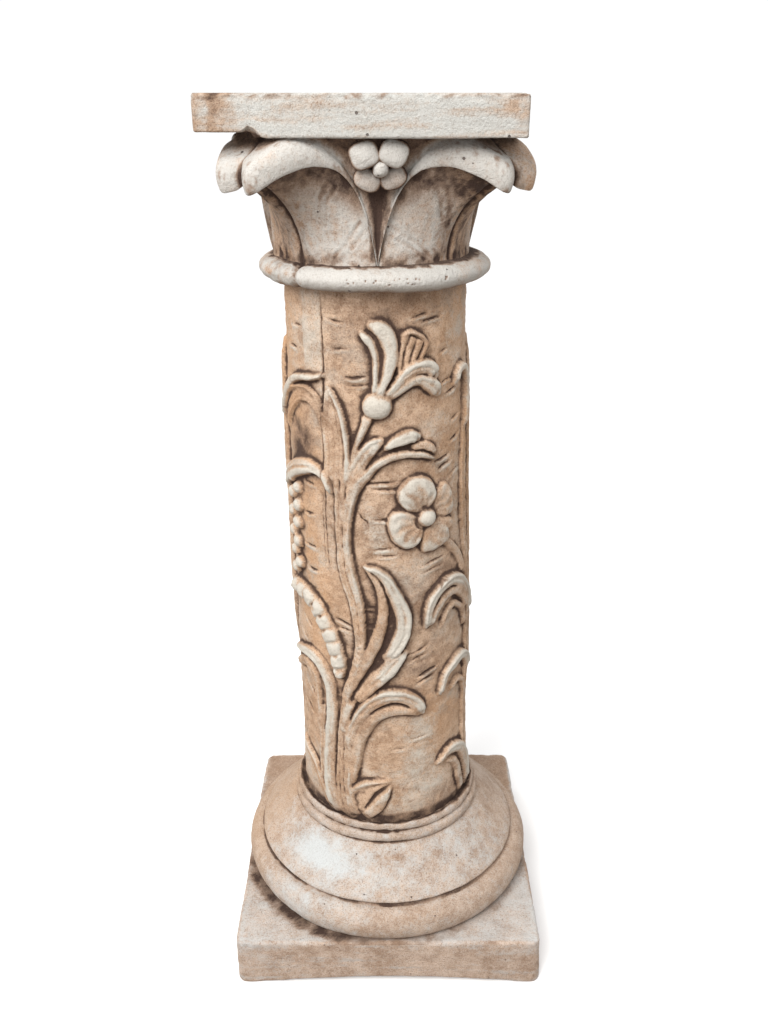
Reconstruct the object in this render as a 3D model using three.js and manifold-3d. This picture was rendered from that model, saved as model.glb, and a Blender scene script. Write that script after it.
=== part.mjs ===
import * as THREE from 'three';
import { mergeVertices } from 'three/addons/utils/BufferGeometryUtils.js';
import Module from 'manifold-3d';

// A cast-stone pedestal column: square plinth, moulded round foot, a shaft carved with
// climbing leaves and flowers, a ring, a capital of four curled leaves and a square slab.
// It is one casting. Millimetres, +Z up, the front faces -Y, and the origin is the centre
// of the plinth's underside.
//
// The plinth's lower edges arch up between its corners. Heights in this file are above a
// level a little over its underside, and the finished model is raised by CORNER_DROP to
// stand on zero.

const wasm = await Module();
wasm.setup();

// Driving dimensions
const HEIGHT = 700;
const PLINTH_SIDE = 257;
const PLINTH_THICK = 40.3;
const PLINTH_CORNER = 7;
const PLINTH_BEVEL = 1.6;
const CORNER_DROP = 5;
const PLINTH_ARCH_RISE = 7.5;
const PLINTH_ARCH_SPAN = 232;
const PLINTH_ARCH_DEPTH = 16;
const TORUS_RADIUS = 129.5;
const TORUS_TOP = 69;
const GROOVE_RADIUS = 115.5;
const GROOVE_HALF = 1;
const BELL_CURVE = [[110, 80], [99, 91], [88, 103]];
const RIB_RADII = [84, 80];
const RIB_MIDDLES = [112.5, 122.5];
const RIB_HALF = 5;
const RIB_DEPTH = 3;
const SHAFT_BOTTOM = 130;
const SHAFT_TOP = 575;
const SHAFT_FOOT_RADIUS = 73.5;
const SHAFT_HEAD_RADIUS = 68;
const RING_RADIUS = 86;
const RING_MIDDLE = 583.2;
const RING_HALF = 9.2;
const NECK_RADIUS = 73.3;
const ABACUS_SIDE = 207.5;
const ABACUS_SHIFT = -1;
const ABACUS_UNDERSIDE = 674;
const ABACUS_CORNER = 2.5;
const ABACUS_CHAMFER = 1.8;
const ABACUS_TURN = -3.5;
const CAPITAL_TURN = 4;
const CAPITAL_SHIFT = -2;
const LEAF_FOOT = 586;
const LEAF_TOP = 679;
const LEAF_FLARE = 2.6;
const BELL_FOOT_RADIUS = 71.5;
const BELL_SWELL = 24;
const BELL_BOTTOM = 592;
const BELL_TOP = 676;

// The casting leans: level sections slide to the left with height, up to the neck
const LEAN = 0.0195;
const LEAN_END = 600;

// The mould seam crosses the front left of the slab, whose left end is thinner. The slab's
// lower arris is chipped where the seam meets it.
const SEAM_X = -68;
const THIN_END = 3.4;
const CHIP = { side: 9, depth: 14, rise: 1.5 };

const TURNED_SEGMENTS = 30;
const CARVING_RADIUS = 71;
const EMBED = 3;
const BACK_SHIFT = Math.PI * CARVING_RADIUS;
const BACK_COARSE = 0.5;
const BACK_HEIGHT = 0.7;

const POD_SCALES = 7;
const POD_HEIGHT = 7;
const FLOWER_STAND = 4;

const rad = THREE.MathUtils.degToRad;
const lerp = THREE.MathUtils.lerp;

// A closed geometry as a solid that can be joined and cut
function solid(geometry) {
  const bare = geometry.clone();
  bare.deleteAttribute('normal');
  bare.deleteAttribute('uv');
  const merged = mergeVertices(bare, 1e-4);
  const mesh = new wasm.Mesh({
    numProp: 3,
    vertProperties: new Float32Array(merged.attributes.position.array),
    triVerts: new Uint32Array(merged.index.array),
  });
  return new wasm.Manifold(mesh);
}

function join(solids) {
  return solids.reduce((whole, next) => whole.add(next));
}

// A solid through a row of rings of points, with a fan of triangles over each end
function loft(rings) {
  const around = rings[0].length;
  const positions = rings.flat();
  const index = [];
  for (let row = 0; row + 1 < rings.length; row++) {
    for (let k = 0; k < around; k++) {
      const a = row * around + k;
      const b = row * around + ((k + 1) % around);
      index.push(a, b, b + around, a, b + around, a + around);
    }
  }
  for (const [row, order] of [[0, -1], [rings.length - 1, 1]]) {
    const centre = new THREE.Vector3();
    rings[row].forEach((point) => centre.addScaledVector(point, 1 / around));
    const hub = positions.push(centre) - 1;
    for (let k = 0; k < around; k++) {
      const a = row * around + k;
      const b = row * around + ((k + 1) % around);
      index.push(hub, ...(order > 0 ? [a, b] : [b, a]));
    }
  }
  const geometry = new THREE.BufferGeometry().setFromPoints(positions);
  geometry.setIndex(index);
  return geometry;
}

// Turned work: the foot, the plain shaft under the carving, and the ring

function shaftRadius(z) {
  const t = THREE.MathUtils.clamp((z - SHAFT_BOTTOM) / (SHAFT_TOP - SHAFT_BOTTOM), 0, 1);
  return lerp(SHAFT_FOOT_RADIUS, SHAFT_HEAD_RADIUS, t);
}

// Points of a bulge between two heights that swells from `inner` to `outer`
function bulge(inner, outer, middle, half, spans) {
  const points = [];
  for (let k = 0; k <= spans; k++) {
    const angle = Math.PI * (k / spans - 0.5);
    const radius = inner + (outer - inner) * Math.cos(angle);
    points.push(new THREE.Vector2(radius, middle + half * Math.sin(angle)));
  }
  return points;
}

function turnedBody() {
  const torusMiddle = (PLINTH_THICK + TORUS_TOP) / 2 - GROOVE_HALF;
  const torusHalf = TORUS_TOP - torusMiddle;
  const bellFoot = TORUS_TOP + 3.5 * GROOVE_HALF;
  const bell = new THREE.SplineCurve([
    new THREE.Vector2(GROOVE_RADIUS + GROOVE_HALF, bellFoot),
    ...BELL_CURVE.map((point) => new THREE.Vector2(...point)),
    new THREE.Vector2(RIB_RADII[0] - 2 * GROOVE_HALF, RIB_MIDDLES[0] - RIB_HALF),
  ]);
  const [lowerRib, upperRib] = RIB_RADII.map((radius, k) => (
    bulge(radius - RIB_DEPTH, radius, RIB_MIDDLES[k], RIB_HALF, 3).slice(1, 3)
  ));
  const outline = [
    new THREE.Vector2(0, PLINTH_THICK - 8),
    ...bulge(GROOVE_RADIUS + GROOVE_HALF, TORUS_RADIUS, torusMiddle, torusHalf, 4),
    new THREE.Vector2(GROOVE_RADIUS - GROOVE_HALF, TORUS_TOP + 1.5 * GROOVE_HALF),
    ...bell.getPoints(3),
    ...lowerRib,
    new THREE.Vector2(RIB_RADII[0] - RIB_HALF, (RIB_MIDDLES[0] + RIB_MIDDLES[1]) / 2),
    ...upperRib,
    new THREE.Vector2(SHAFT_FOOT_RADIUS + 0.5, SHAFT_BOTTOM - 1.5),
    new THREE.Vector2(SHAFT_FOOT_RADIUS, SHAFT_BOTTOM + 4),
    new THREE.Vector2(SHAFT_HEAD_RADIUS, SHAFT_TOP),
    ...bulge(NECK_RADIUS, RING_RADIUS, RING_MIDDLE, RING_HALF, 4),
    new THREE.Vector2(0, RING_MIDDLE + RING_HALF),
  ];
  return solid(new THREE.LatheGeometry(outline, TURNED_SEGMENTS).rotateX(Math.PI / 2));
}

// Slabs: the plinth and the abacus

// A square outline with round corners
function squareShape(side, corner) {
  const h = side / 2;
  const shape = new THREE.Shape();
  shape.moveTo(-h + corner, -h);
  shape.lineTo(h - corner, -h);
  shape.absarc(h - corner, -h + corner, corner, -Math.PI / 2, 0);
  shape.lineTo(h, h - corner);
  shape.absarc(h - corner, h - corner, corner, 0, Math.PI / 2);
  shape.lineTo(-h + corner, h);
  shape.absarc(-h + corner, h - corner, corner, Math.PI / 2, Math.PI);
  shape.lineTo(-h, -h + corner);
  shape.absarc(-h + corner, -h + corner, corner, Math.PI, 1.5 * Math.PI);
  return shape;
}

// An upright slab of the square outline, chamfered along its top and bottom arrises
function slab(side, thickness, corner, chamfer, base, curveSegments) {
  const geometry = new THREE.ExtrudeGeometry(squareShape(side - 2 * chamfer, corner), {
    depth: thickness - 2 * chamfer,
    curveSegments,
    bevelThickness: chamfer,
    bevelSize: chamfer,
    bevelSegments: 1,
  });
  return solid(geometry.translate(0, 0, base + chamfer));
}

// A low vault is cut under each lower arris of the plinth, so that it stands on its corners
// and its middle
function plinth() {
  const thickness = PLINTH_THICK + CORNER_DROP;
  let body = slab(PLINTH_SIDE, thickness, PLINTH_CORNER, PLINTH_BEVEL, -CORNER_DROP, 2);
  const half = PLINTH_ARCH_SPAN / 2;
  const radius = (half * half + PLINTH_ARCH_RISE * PLINTH_ARCH_RISE) / (2 * PLINTH_ARCH_RISE);
  const reach = Math.asin(half / radius);
  const crown = PLINTH_ARCH_RISE - CORNER_DROP;
  const vault = new THREE.Shape();
  vault.absarc(0, crown - radius, radius, Math.PI / 2 - reach, Math.PI / 2 + reach);
  vault.lineTo(-half, -2 * CORNER_DROP);
  vault.lineTo(half, -2 * CORNER_DROP);
  const cutter = new THREE.ExtrudeGeometry(vault, {
    depth: 2 * PLINTH_ARCH_DEPTH,
    bevelEnabled: false,
    curveSegments: 2,
  });
  cutter.rotateX(Math.PI / 2).translate(0, PLINTH_ARCH_DEPTH - PLINTH_SIDE / 2, 0);
  for (let side = 0; side < 4; side++) {
    body = body.subtract(solid(cutter.clone().rotateZ(side * Math.PI / 2)));
  }
  return body;
}

function abacus() {
  const thickness = HEIGHT - ABACUS_UNDERSIDE;
  const whole = slab(ABACUS_SIDE, thickness, ABACUS_CORNER, ABACUS_CHAMFER, ABACUS_UNDERSIDE, 1);
  const beyond = 0.4 * ABACUS_SIDE;
  const cut = new THREE.BoxGeometry(beyond, 1.1 * ABACUS_SIDE, 2 * THIN_END);
  cut.translate(SEAM_X - beyond / 2, 0, ABACUS_UNDERSIDE);
  const chip = new THREE.BoxGeometry(CHIP.side, CHIP.depth, CHIP.side).rotateY(Math.PI / 4);
  chip.translate(SEAM_X + 1, -ABACUS_SIDE / 2, ABACUS_UNDERSIDE + CHIP.rise);
  const worn = whole.subtract(solid(cut)).subtract(solid(chip));
  return worn.rotate([0, 0, ABACUS_TURN]).translate([ABACUS_SHIFT, 0, 0]);
}

// The capital: four leaves that rise from the ring and curl over at the slab's corners

// Over half a face, from its centre to the corner: degrees, rim height, rim radius, lip height
const LEAF_RIM = [
  [0, 592, 72, 0.5],
  [3, 612, 76, 1],
  [8, 634, 80, 2.5],
  [15, 651, 88.5, 5.5],
  [24, 657, 103, 11],
  [33, 650, 119, 16.5],
  [39, 641, 128.5, 18],
  [45, 644, 120.5, 16],
];

// The plain bell behind the leaves
function bellRadius(z) {
  const t = THREE.MathUtils.clamp((z - BELL_BOTTOM) / (BELL_TOP - BELL_BOTTOM), 0, 1);
  return BELL_FOOT_RADIUS + BELL_SWELL * t ** LEAF_FLARE;
}

// One upright profile of the capital: up the blade, round the lip and back along the bell.
// Where the lip reaches out past 100 mm, the blade meets it from above.
function leafProfile([, rimZ, rimRadius, lip]) {
  const points = [[NECK_RADIUS - 1.5, LEAF_FOOT]];
  const underside = rimZ + Math.max(0, rimRadius - 100) * 0.42;
  for (const t of [0.45, 0.75, 0.92]) {
    const radius = NECK_RADIUS - 1 + (rimRadius - NECK_RADIUS - 3) * t ** LEAF_FLARE;
    points.push([radius, lerp(LEAF_FOOT, underside, t)]);
  }
  points.push([rimRadius, rimZ]);
  points.push([rimRadius + 0.18 * lip, rimZ + 0.5 * lip]);
  const top = rimZ + 1.35 * lip;
  const over = rimRadius - 0.45 * lip;
  points.push([over, top]);
  const inner = bellRadius(top + 2);
  const middle = lerp(top, LEAF_TOP, 0.5);
  points.push([Math.max(bellRadius(middle), lerp(over, inner, 0.5) + 0.24 * lip), middle]);
  points.push([bellRadius(LEAF_TOP) + 0.3 * lip, LEAF_TOP]);
  return points;
}

function capital() {
  const columns = [];
  for (let face = 0; face < 4; face++) {
    LEAF_RIM.forEach((station) => columns.push([face * 90 + station[0], leafProfile(station)]));
    LEAF_RIM.slice(1, -1).reverse().forEach((station) => {
      columns.push([face * 90 + 90 - station[0], leafProfile(station)]);
    });
  }
  const rows = columns[0][1].length;
  const rings = [];
  for (let row = 0; row < rows; row++) {
    rings.push(columns.map(([degrees, profile]) => {
      const [radius, z] = profile[row];
      return new THREE.Vector3(radius * Math.sin(rad(degrees)), -radius * Math.cos(rad(degrees)), z);
    }));
  }
  return solid(loft(rings));
}

// A flower of four petals and a bud stands at the centre of each face of the capital
const FLOWER_PARTS = [
  { across: -9.6, z: 664, size: [9.4, 7.5, 8.8] },
  { across: 9.2, z: 665, size: [9.4, 7.5, 8.4] },
  { across: -7.2, z: 649, size: [8.8, 5.5, 6.4] },
  { across: 9.6, z: 650, size: [8.8, 5.5, 6.4] },
  { across: 0.6, z: 655, size: [5.2, 10, 5.2] },
];

function flower(degrees) {
  return join(FLOWER_PARTS.map(({ across, z, size }) => {
    const blob = new THREE.SphereGeometry(1, 5, 3).rotateX(Math.PI / 2).scale(...size);
    blob.translate(across, -bellRadius(z) - FLOWER_STAND, z).rotateZ(rad(degrees));
    return solid(blob);
  }));
}

// Carving on the shaft. A stroke is a line of points: round the shaft, height, half width.
// The distance round the shaft is in millimetres at the carving radius, zero at the front.

// Stroke sections: across from -1 to 1, and how far that point stands out as a share of the height
const RIDGE = [[0, 1]];
const ROUND = [[-0.5, 1], [0.5, 1]];
const RIM_LEFT = [[-0.82, 1], [-0.25, 0.5], [0.6, 0.65]];
const RIM_RIGHT = RIM_LEFT.map(([across, stand]) => [-across, stand]).reverse();

// `spans` is how many straight steps follow the line on the front. Strokes with `plain` are also
// carved on the back, in fewer steps.
const STROKES = [
  // The main stem, and the upright leaf at its head
  { height: 5, section: ROUND, spans: 8, plain: true, line: [
    [-32, 131, 5], [-38, 160, 6], [-39, 195, 6], [-35, 235, 5], [-24, 268, 4.5],
    [-17.5, 305, 4.5], [-22, 338, 5], [-32, 370, 6.5], [-34, 405, 7], [-31, 432, 6.5],
    [-27, 458, 5]] },
  { height: 5.5, section: RIM_RIGHT, spans: 5, line: [
    [-31, 440, 8], [-31.5, 455, 9.5], [-33, 470, 9], [-36, 484, 7], [-39, 495, 4.4],
    [-42, 504, 1.2]] },
  // The lily: two strands of the left petal, two of the right, the fluted back petal and the stalk
  { height: 4, section: RIDGE, spans: 2, line: [
    [-20, 440, 3], [-16, 461, 3.2], [-9, 479, 3.6], [-4, 488, 4]] },
  { height: 6, section: ROUND, spans: 4, plain: true, line: [
    [1, 500, 3.5], [7, 512, 5.5], [10.5, 526, 6.5], [9, 539, 6.5], [3, 548, 5], [-4, 552, 2]] },
  { height: 4.5, section: RIDGE, spans: 3, line: [
    [-2, 500, 2.5], [0.5, 515, 3.4], [0, 528, 4.5], [-4, 538, 4.5], [-10, 545, 1.5]] },
  { height: 6, section: ROUND, spans: 5, plain: true, line: [
    [6, 499, 3], [12, 509, 5], [22, 516, 6], [34, 519, 6], [44, 514.5, 6], [50, 506, 5],
    [53, 497, 2.5]] },
  { height: 4, section: RIDGE, spans: 4, line: [
    [9, 499, 3], [20, 505, 4.5], [33, 506, 5], [43, 501, 4], [50, 494, 1.5]] },
  { height: 3.5, section: RIDGE, spans: 3, line: [
    [17, 517, 3], [22, 531, 7], [27, 541, 7], [30, 546, 3]] },
  { height: 3.5, section: RIDGE, spans: 3, line: [
    [28, 518, 4], [34, 530, 7], [40, 539, 4.5], [43, 542, 2]] },
  // The three-lobed leaf: its long lower edge and the lobed upper band
  { height: 5.5, section: ROUND, spans: 6, plain: true, line: [
    [-30, 392, 2], [-24, 413, 3.5], [-14, 431, 4], [1, 445, 4.2], [17, 453.5, 4], [33, 453, 3],
    [48, 448, 1]] },
  { height: 5, section: RIM_LEFT, spans: 7, plain: true, line: [
    [-26, 430, 3], [-17, 446, 6], [-5, 457, 8.5], [8, 460, 5.5], [20, 466, 7.5], [31, 463, 7.5],
    [38, 459, 4.5], [45, 455, 2]] },
  // The stem of the four-petal flower
  { height: 4, section: RIDGE, spans: 3, plain: true, line: [
    [54, 380, 4], [66, 369.5, 4.5], [78, 357, 5], [89, 340, 5]] },
  // The middle leaf that bends to the right, with a notch in its outer edge
  { height: 6.5, section: RIM_RIGHT, spans: 8, plain: true, line: [
    [-30, 240, 4], [-20, 254, 9], [-8, 268, 12.5], [1, 283, 12.5], [5, 296, 10], [8.5, 308, 11.5],
    [10.5, 321, 11.5], [9, 336, 10], [5, 349, 8.5], [-3, 359, 5.5], [-13, 365, 1.5]] },
  // The lower right leaf, whose tip droops
  { height: 6.5, section: RIM_LEFT, spans: 7, plain: true, line: [
    [-30, 165, 2.5], [-28, 190, 5], [-24.5, 212, 8], [-17, 230, 12.5], [-6, 242, 14.5],
    [7, 245, 14.5], [19, 241, 12], [27, 234, 8], [32, 227, 2]] },
  // The folded leaf at the foot
  { height: 5.5, section: ROUND, spans: 4, line: [
    [-29, 133, 4], [-25, 147, 6.5], [-16, 159, 7], [-5, 165, 4.5], [4, 167, 1]] },
  { height: 4, section: RIDGE, spans: 3, line: [
    [-20, 131, 4], [-13, 142, 5.5], [-5, 151, 5], [4, 160, 1.2]] },
  // The lower left leaf, the small leaf beside the foot, the curl above and the hook over it
  { height: 5, section: ROUND, spans: 7, plain: true, line: [
    [-45, 133, 4], [-48, 175, 4.5], [-50, 215, 5], [-52, 243, 7], [-60, 262, 9], [-73, 269, 8],
    [-86, 266, 5], [-94, 259, 2]] },
  { height: 5, section: RIDGE, spans: 3, line: [
    [-36, 135, 4.5], [-48, 145, 6.5], [-60, 155, 6.5], [-70, 162, 5], [-78, 169, 1.5]] },
  { height: 6, section: ROUND, spans: 6, plain: true, line: [
    [-36, 424, 2], [-40, 439, 3.5], [-50, 445, 6], [-63, 444.5, 7], [-77, 440, 8], [-91, 431, 8],
    [-105, 418, 5]] },
  { height: 5.5, section: RIM_LEFT, spans: 5, plain: true, line: [
    [-108, 470, 4], [-98, 487, 7], [-85, 496, 9], [-70, 501, 9], [-57, 504, 7],
    [-44, 510, 1.5]] },
  // The far left stem that carries them forks from the next group's right stem
  { height: 5, section: ROUND, spans: 7, plain: true, line: [
    [-131, 235, 3], [-121, 285, 4.5], [-111, 335, 4.5], [-107, 410, 4.5], [-110, 480, 4],
    [-106, 528, 2]] },
  // The right stem, its curled head, and three arched leaves
  { height: 3.5, section: ROUND, spans: 9, plain: true, line: [
    [88, 131, 4.5], [85, 190, 4.5], [92, 260, 4.5], [94, 310, 4.5], [88, 360, 4], [83, 410, 4],
    [86, 470, 4], [84, 497, 4], [77, 511, 4], [69, 514, 2]] },
  { height: 6.5, section: RIM_RIGHT, spans: 7, plain: true, line: [
    [95, 280, 5], [92, 303, 8], [83, 322, 9], [71, 331, 8.5], [58, 333, 7.5], [46, 327, 5.5],
    [39, 317, 4], [38, 305, 1.2]] },
  { height: 6, section: RIM_RIGHT, spans: 5, line: [
    [91, 222, 5], [87, 243, 8], [76, 256, 8], [64, 259, 6.5], [54, 253, 4.5], [49, 242, 1.5]] },
  { height: 6, section: RIM_RIGHT, spans: 5, plain: true, line: [
    [82, 131, 10], [81, 150, 11], [74, 166, 9.5], [64, 174, 7], [55, 174, 4.5], [48, 170, 1.2]] },
];

// Round lumps in relief: round the shaft, height, half sizes along and across, tilt, how far out
const LUMPS = [
  // The lily's bud
  [0, 492, 9.5, 9.5, 0, 8],
  // The four petals and the knob of the open flower
  [29, 423, 16.5, 13.5, 18, 5.5],
  [55, 415.5, 12.5, 11, 50, 4.5],
  [18.5, 393.5, 15, 12, 120, 5.5],
  [49, 385.5, 15, 12, -10, 5],
  [37.6, 404, 7.5, 7.5, 0, 9.5],
  // Berries under the far left curl
  [-84, 422, 5.6, 5.6, 0, 6],
  [-74, 414, 5.6, 5.6, 0, 6],
  [-86, 408, 5.6, 5.6, 0, 6],
  [-77, 399, 5.6, 5.6, 0, 6],
  [-88, 392, 5.6, 5.6, 0, 6],
  [-78, 384, 5.6, 5.6, 0, 6],
  [-87, 374, 5.6, 5.6, 0, 6],
  [-80, 360, 5.6, 5.6, 0, 5.5],
];

// The back has no more than the first of them
const PLAIN_LUMPS = 6;

// The pod hangs from the far left stem, and narrows between its scales
const POD_LINE = [
    [-92, 322, 6.5], [-70, 324.5, 8], [-53, 314, 8], [-42, 297, 8], [-38, 278, 7.5], [-37, 262, 5],
];

function onShaft(around, z, stand) {
  const angle = around / CARVING_RADIUS;
  const radius = shaftRadius(z) + stand;
  return new THREE.Vector3(radius * Math.sin(angle), -radius * Math.cos(angle), z);
}

// A solid that follows a line on the shaft and sinks a little way into it. `swell` gives the
// share of the full width and height at each step.
function strip(line, shift, section, height, spans, swell) {
  const points = line.map(([u, z, half]) => new THREE.Vector3(u + shift, z, half));
  const curve = new THREE.CatmullRomCurve3(points, false, 'centripetal');
  const rings = [];
  for (let k = 0; k <= spans; k++) {
    const t = k / spans;
    const { x: u, y: z, z: half } = curve.getPointAt(t);
    const ahead = curve.getTangentAt(t).setZ(0).normalize();
    const share = swell(k, t);
    const place = (across, stand) => {
      const reach = across * half * share.width;
      return onShaft(u + ahead.y * reach, z - ahead.x * reach, stand);
    };
    rings.push([
      place(-1, -EMBED),
      ...section.map(([across, stand]) => place(across, stand * height * share.height)),
      place(1, -EMBED),
    ]);
  }
  return solid(loft(rings));
}

// A stroke rises out of the ground at its ends
function stroke({ line, height, section, spans }, shift, coarse, tall) {
  const steps = Math.max(2, Math.round(spans * coarse));
  const swell = (k, t) => ({ width: 1, height: Math.min(1, 0.45 + 3 * Math.sin(Math.PI * t)) });
  return strip(line, shift, section, height * tall, steps, swell);
}

function pod() {
  const swell = (k) => (k % 2 ? { width: 1, height: 1 } : { width: 0.8, height: 0.6 });
  return strip(POD_LINE, 0, ROUND, POD_HEIGHT, 2 * POD_SCALES, swell);
}

// A lump is a dome with an oval foot
function lump([u, z, along, across, tilt, stand], shift) {
  const around = along < 9 ? 5 : 8;
  const turn = rad(tilt);
  const rings = [];
  for (const [share, height] of [[1, -EMBED], [0.92, 0.6 * stand], [0.45, stand]]) {
    const ring = [];
    for (let k = 0; k < around; k++) {
      const angle = 2 * Math.PI * k / around;
      const a = along * share * Math.cos(angle);
      const c = across * share * Math.sin(angle);
      const du = a * Math.cos(turn) - c * Math.sin(turn);
      const dz = a * Math.sin(turn) + c * Math.cos(turn);
      ring.push(onShaft(u + shift + du, z + dz, height));
    }
    rings.push(ring);
  }
  return solid(loft(rings));
}

// The front carries the whole design, and the back carries its main strokes and lumps again
function carving() {
  const front = [...STROKES.map((one) => stroke(one, 0, 1, 1)), ...LUMPS.map((one) => lump(one, 0)), pod()];
  const back = [
    ...STROKES.filter((one) => one.plain).map((one) => stroke(one, BACK_SHIFT, BACK_COARSE, BACK_HEIGHT)),
    ...LUMPS.slice(0, PLAIN_LUMPS).map((one) => lump(one, BACK_SHIFT)),
  ];
  return join([...front, ...back]);
}

// Assembly

function toGeometry(manifold) {
  const mesh = manifold.getMesh();
  const geometry = new THREE.BufferGeometry();
  geometry.setAttribute('position', new THREE.BufferAttribute(new Float32Array(mesh.vertProperties), 3));
  geometry.setIndex(new THREE.BufferAttribute(new Uint32Array(mesh.triVerts), 1));
  return geometry;
}

// How far the level section at a height has slid to the side
function leanAt(z) {
  return -LEAN * Math.max(0, Math.min(z, LEAN_END) - PLINTH_THICK);
}

function leaned(geometry) {
  const position = geometry.attributes.position;
  for (let k = 0; k < position.count; k++) {
    position.setX(k, position.getX(k) + leanAt(position.getZ(k)));
  }
  return geometry;
}

function head() {
  const leaves = [capital()];
  for (let face = 0; face < 4; face++) {
    leaves.push(flower(face * 90));
  }
  return join(leaves).rotate([0, 0, CAPITAL_TURN]).translate([CAPITAL_SHIFT, 0, 0]).add(abacus());
}

const casting = join([plinth(), turnedBody(), carving(), head()]);
const geometry = leaned(toGeometry(casting)).translate(0, 0, CORNER_DROP);
geometry.computeVertexNormals();

const column = new THREE.Mesh(
  geometry,
  new THREE.MeshStandardMaterial({ color: 0xc9b9a2, roughness: 0.9, metalness: 0 }),
);
column.name = 'column';

const model = new THREE.Group();
model.add(column);

export default model;
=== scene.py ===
import math

import bpy
import numpy as np
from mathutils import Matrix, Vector


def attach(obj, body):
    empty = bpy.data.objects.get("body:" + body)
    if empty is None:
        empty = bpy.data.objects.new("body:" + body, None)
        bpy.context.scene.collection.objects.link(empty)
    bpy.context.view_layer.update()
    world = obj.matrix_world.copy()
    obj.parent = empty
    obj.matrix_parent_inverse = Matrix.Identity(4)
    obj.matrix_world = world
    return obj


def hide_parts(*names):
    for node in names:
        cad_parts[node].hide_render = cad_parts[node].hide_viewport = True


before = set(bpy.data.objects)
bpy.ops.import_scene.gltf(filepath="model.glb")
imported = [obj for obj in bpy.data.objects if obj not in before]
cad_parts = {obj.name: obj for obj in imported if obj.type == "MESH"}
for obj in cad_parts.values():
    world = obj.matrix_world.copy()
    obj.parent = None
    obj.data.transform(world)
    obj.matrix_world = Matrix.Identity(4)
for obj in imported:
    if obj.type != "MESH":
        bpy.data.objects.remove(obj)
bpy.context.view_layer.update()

bl_info = {
    "name": "Pedestal column",
    "version": (1, 0, 0),
    "blender": (4, 5, 0),
    "location": "3D View > Sidebar > Column",
    "description": "Builds a carved cast-stone pedestal column with its worn brown wash",
    "category": "Object",
}

# Sizes are in millimetres. Heights are above a level CORNER_DROP over the floor, because the
# plinth's corners hang that far below the crowns of its arched lower edges.
CORNER_DROP = 5.0
LEAN, LEAN_START, LEAN_END = 0.0195, 40.3, 600.0
SEAM_X = -68.0
TURN_ROUND = 2 * math.pi
PLINTH_CORNER, PLINTH_BEVEL, ARCH_REACH, ARCH_RISE = 7.0, 2.4, 116.0, 7.5
CARVING_RADIUS = 71.0
ROUND_SHAFT = TURN_ROUND * CARVING_RADIUS
SHAFT_LOW, SHAFT_HIGH, TAPER_START, TAPER_LENGTH = 120.0, 580.0, 130.0, 445.0
SHAFT_FOOT_RADIUS, SHAFT_NECK_RADIUS, SHAFT_TRIANGLES = 73.5, 68.0, 196000
BACK_SHARE, BACK_CUTS, LINE_STEP = 0.7, 46, 0.9
PETAL_EDGE, PETAL_WINDOW, SCALES_ON_POD = 3.4, 40, 8.5
RING_MIDDLE, RING_HALF, RING_RADIUS, NECK_RADIUS, RING_PITS = 583.2, 9.2, 86.0, 73.3, 26
LEAF_FOOT, BELL_START, BELL_HEIGHT, BELL_TOP = 586.0, 592.0, 84.0, 679.0
BELL_RADIUS, BELL_FLARE = 71.5, 24.0
CAPITAL_TURN, CAPITAL_SHIFT = 4.0, -2.0
SLAB_BASE, SLAB_THICK, SLAB_CORNER, SLAB_BEVEL = 674.0, 26.0, 2.6, 1.8
SLAB_TURN, SLAB_SHIFT = -3.5, -1.0

# The finish: bump, and how glossy the stone is
BUMP_STRENGTH, BUMP_DISTANCE, GLOSS = 0.9, 0.0009, 0.28

# The studio: sensor and lens in millimetres, places in metres, tilt in degrees from straight down
SENSOR_WIDTH, LENS, CAMERA_X, CAMERA_Y, CAMERA_TILT = 36.0, 34.56, -0.0034, -0.7485, 66.9
LAMP_SIZE, LAMP_PLACE, LAMP_AIM = 1.1, (-0.75, -1.35, 1.75), (-0.005, 0, 0.35)


# Noise, blur and lines

def lattice_noise(points, size, seed):
    """Random values at the corners of cubes of the given size, blended by s-curves: -1 to 1."""
    scaled = points / size
    cell = np.floor(scaled).astype(np.int64)
    part = scaled - cell
    part = part * part * (3 - 2 * part)
    total = 0.0
    for corner in range(8):
        step = np.array([(corner >> axis) & 1 for axis in range(3)])
        at = cell + step
        key = at[..., 0] * 73856093 ^ at[..., 1] * 19349663 ^ at[..., 2] * 83492791
        key = (key ^ seed * 2654435761) & 0xFFFFFFFF
        key = ((key ^ (key >> 13)) * 1274126177) & 0xFFFFFFFF
        value = ((key ^ (key >> 16)) & 0xFFFF) / 32767.5 - 1
        total = total + value * np.prod(np.where(step, part, 1 - part), -1)
    return total


def fractal(points, size, seed, octaves=3):
    """A sum of lattice noises, each half the size and half the strength of the one before."""
    return sum(lattice_noise(points, size / 2 ** k, seed + k) / 2 ** k for k in range(octaves))


def smoothstep(low, high, value):
    """0 below `low`, 1 above `high`, and an s-curve between them."""
    t = np.clip((value - low) / (high - low), 0, 1)
    return t * t * (3 - 2 * t)


def peak(value, middle, width):
    """1 at `middle`, and falling off on both sides as a bell curve of the given width."""
    return np.exp(-((value - middle) / width) ** 2)


def soften(grid, rows, columns):
    """Gaussian blur by Fourier transform: rows mirrored at the ends, columns wrapping round."""
    both = np.concatenate([grid, grid[::-1]], 0)
    down = np.fft.fftfreq(both.shape[0])[:, None] * rows
    along = np.fft.rfftfreq(both.shape[1])[None, :] * columns
    kernel = np.exp(-2 * math.pi ** 2 * (down ** 2 + along ** 2))
    return np.fft.irfft2(np.fft.rfft2(both) * kernel, both.shape)[:grid.shape[0]]


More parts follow.
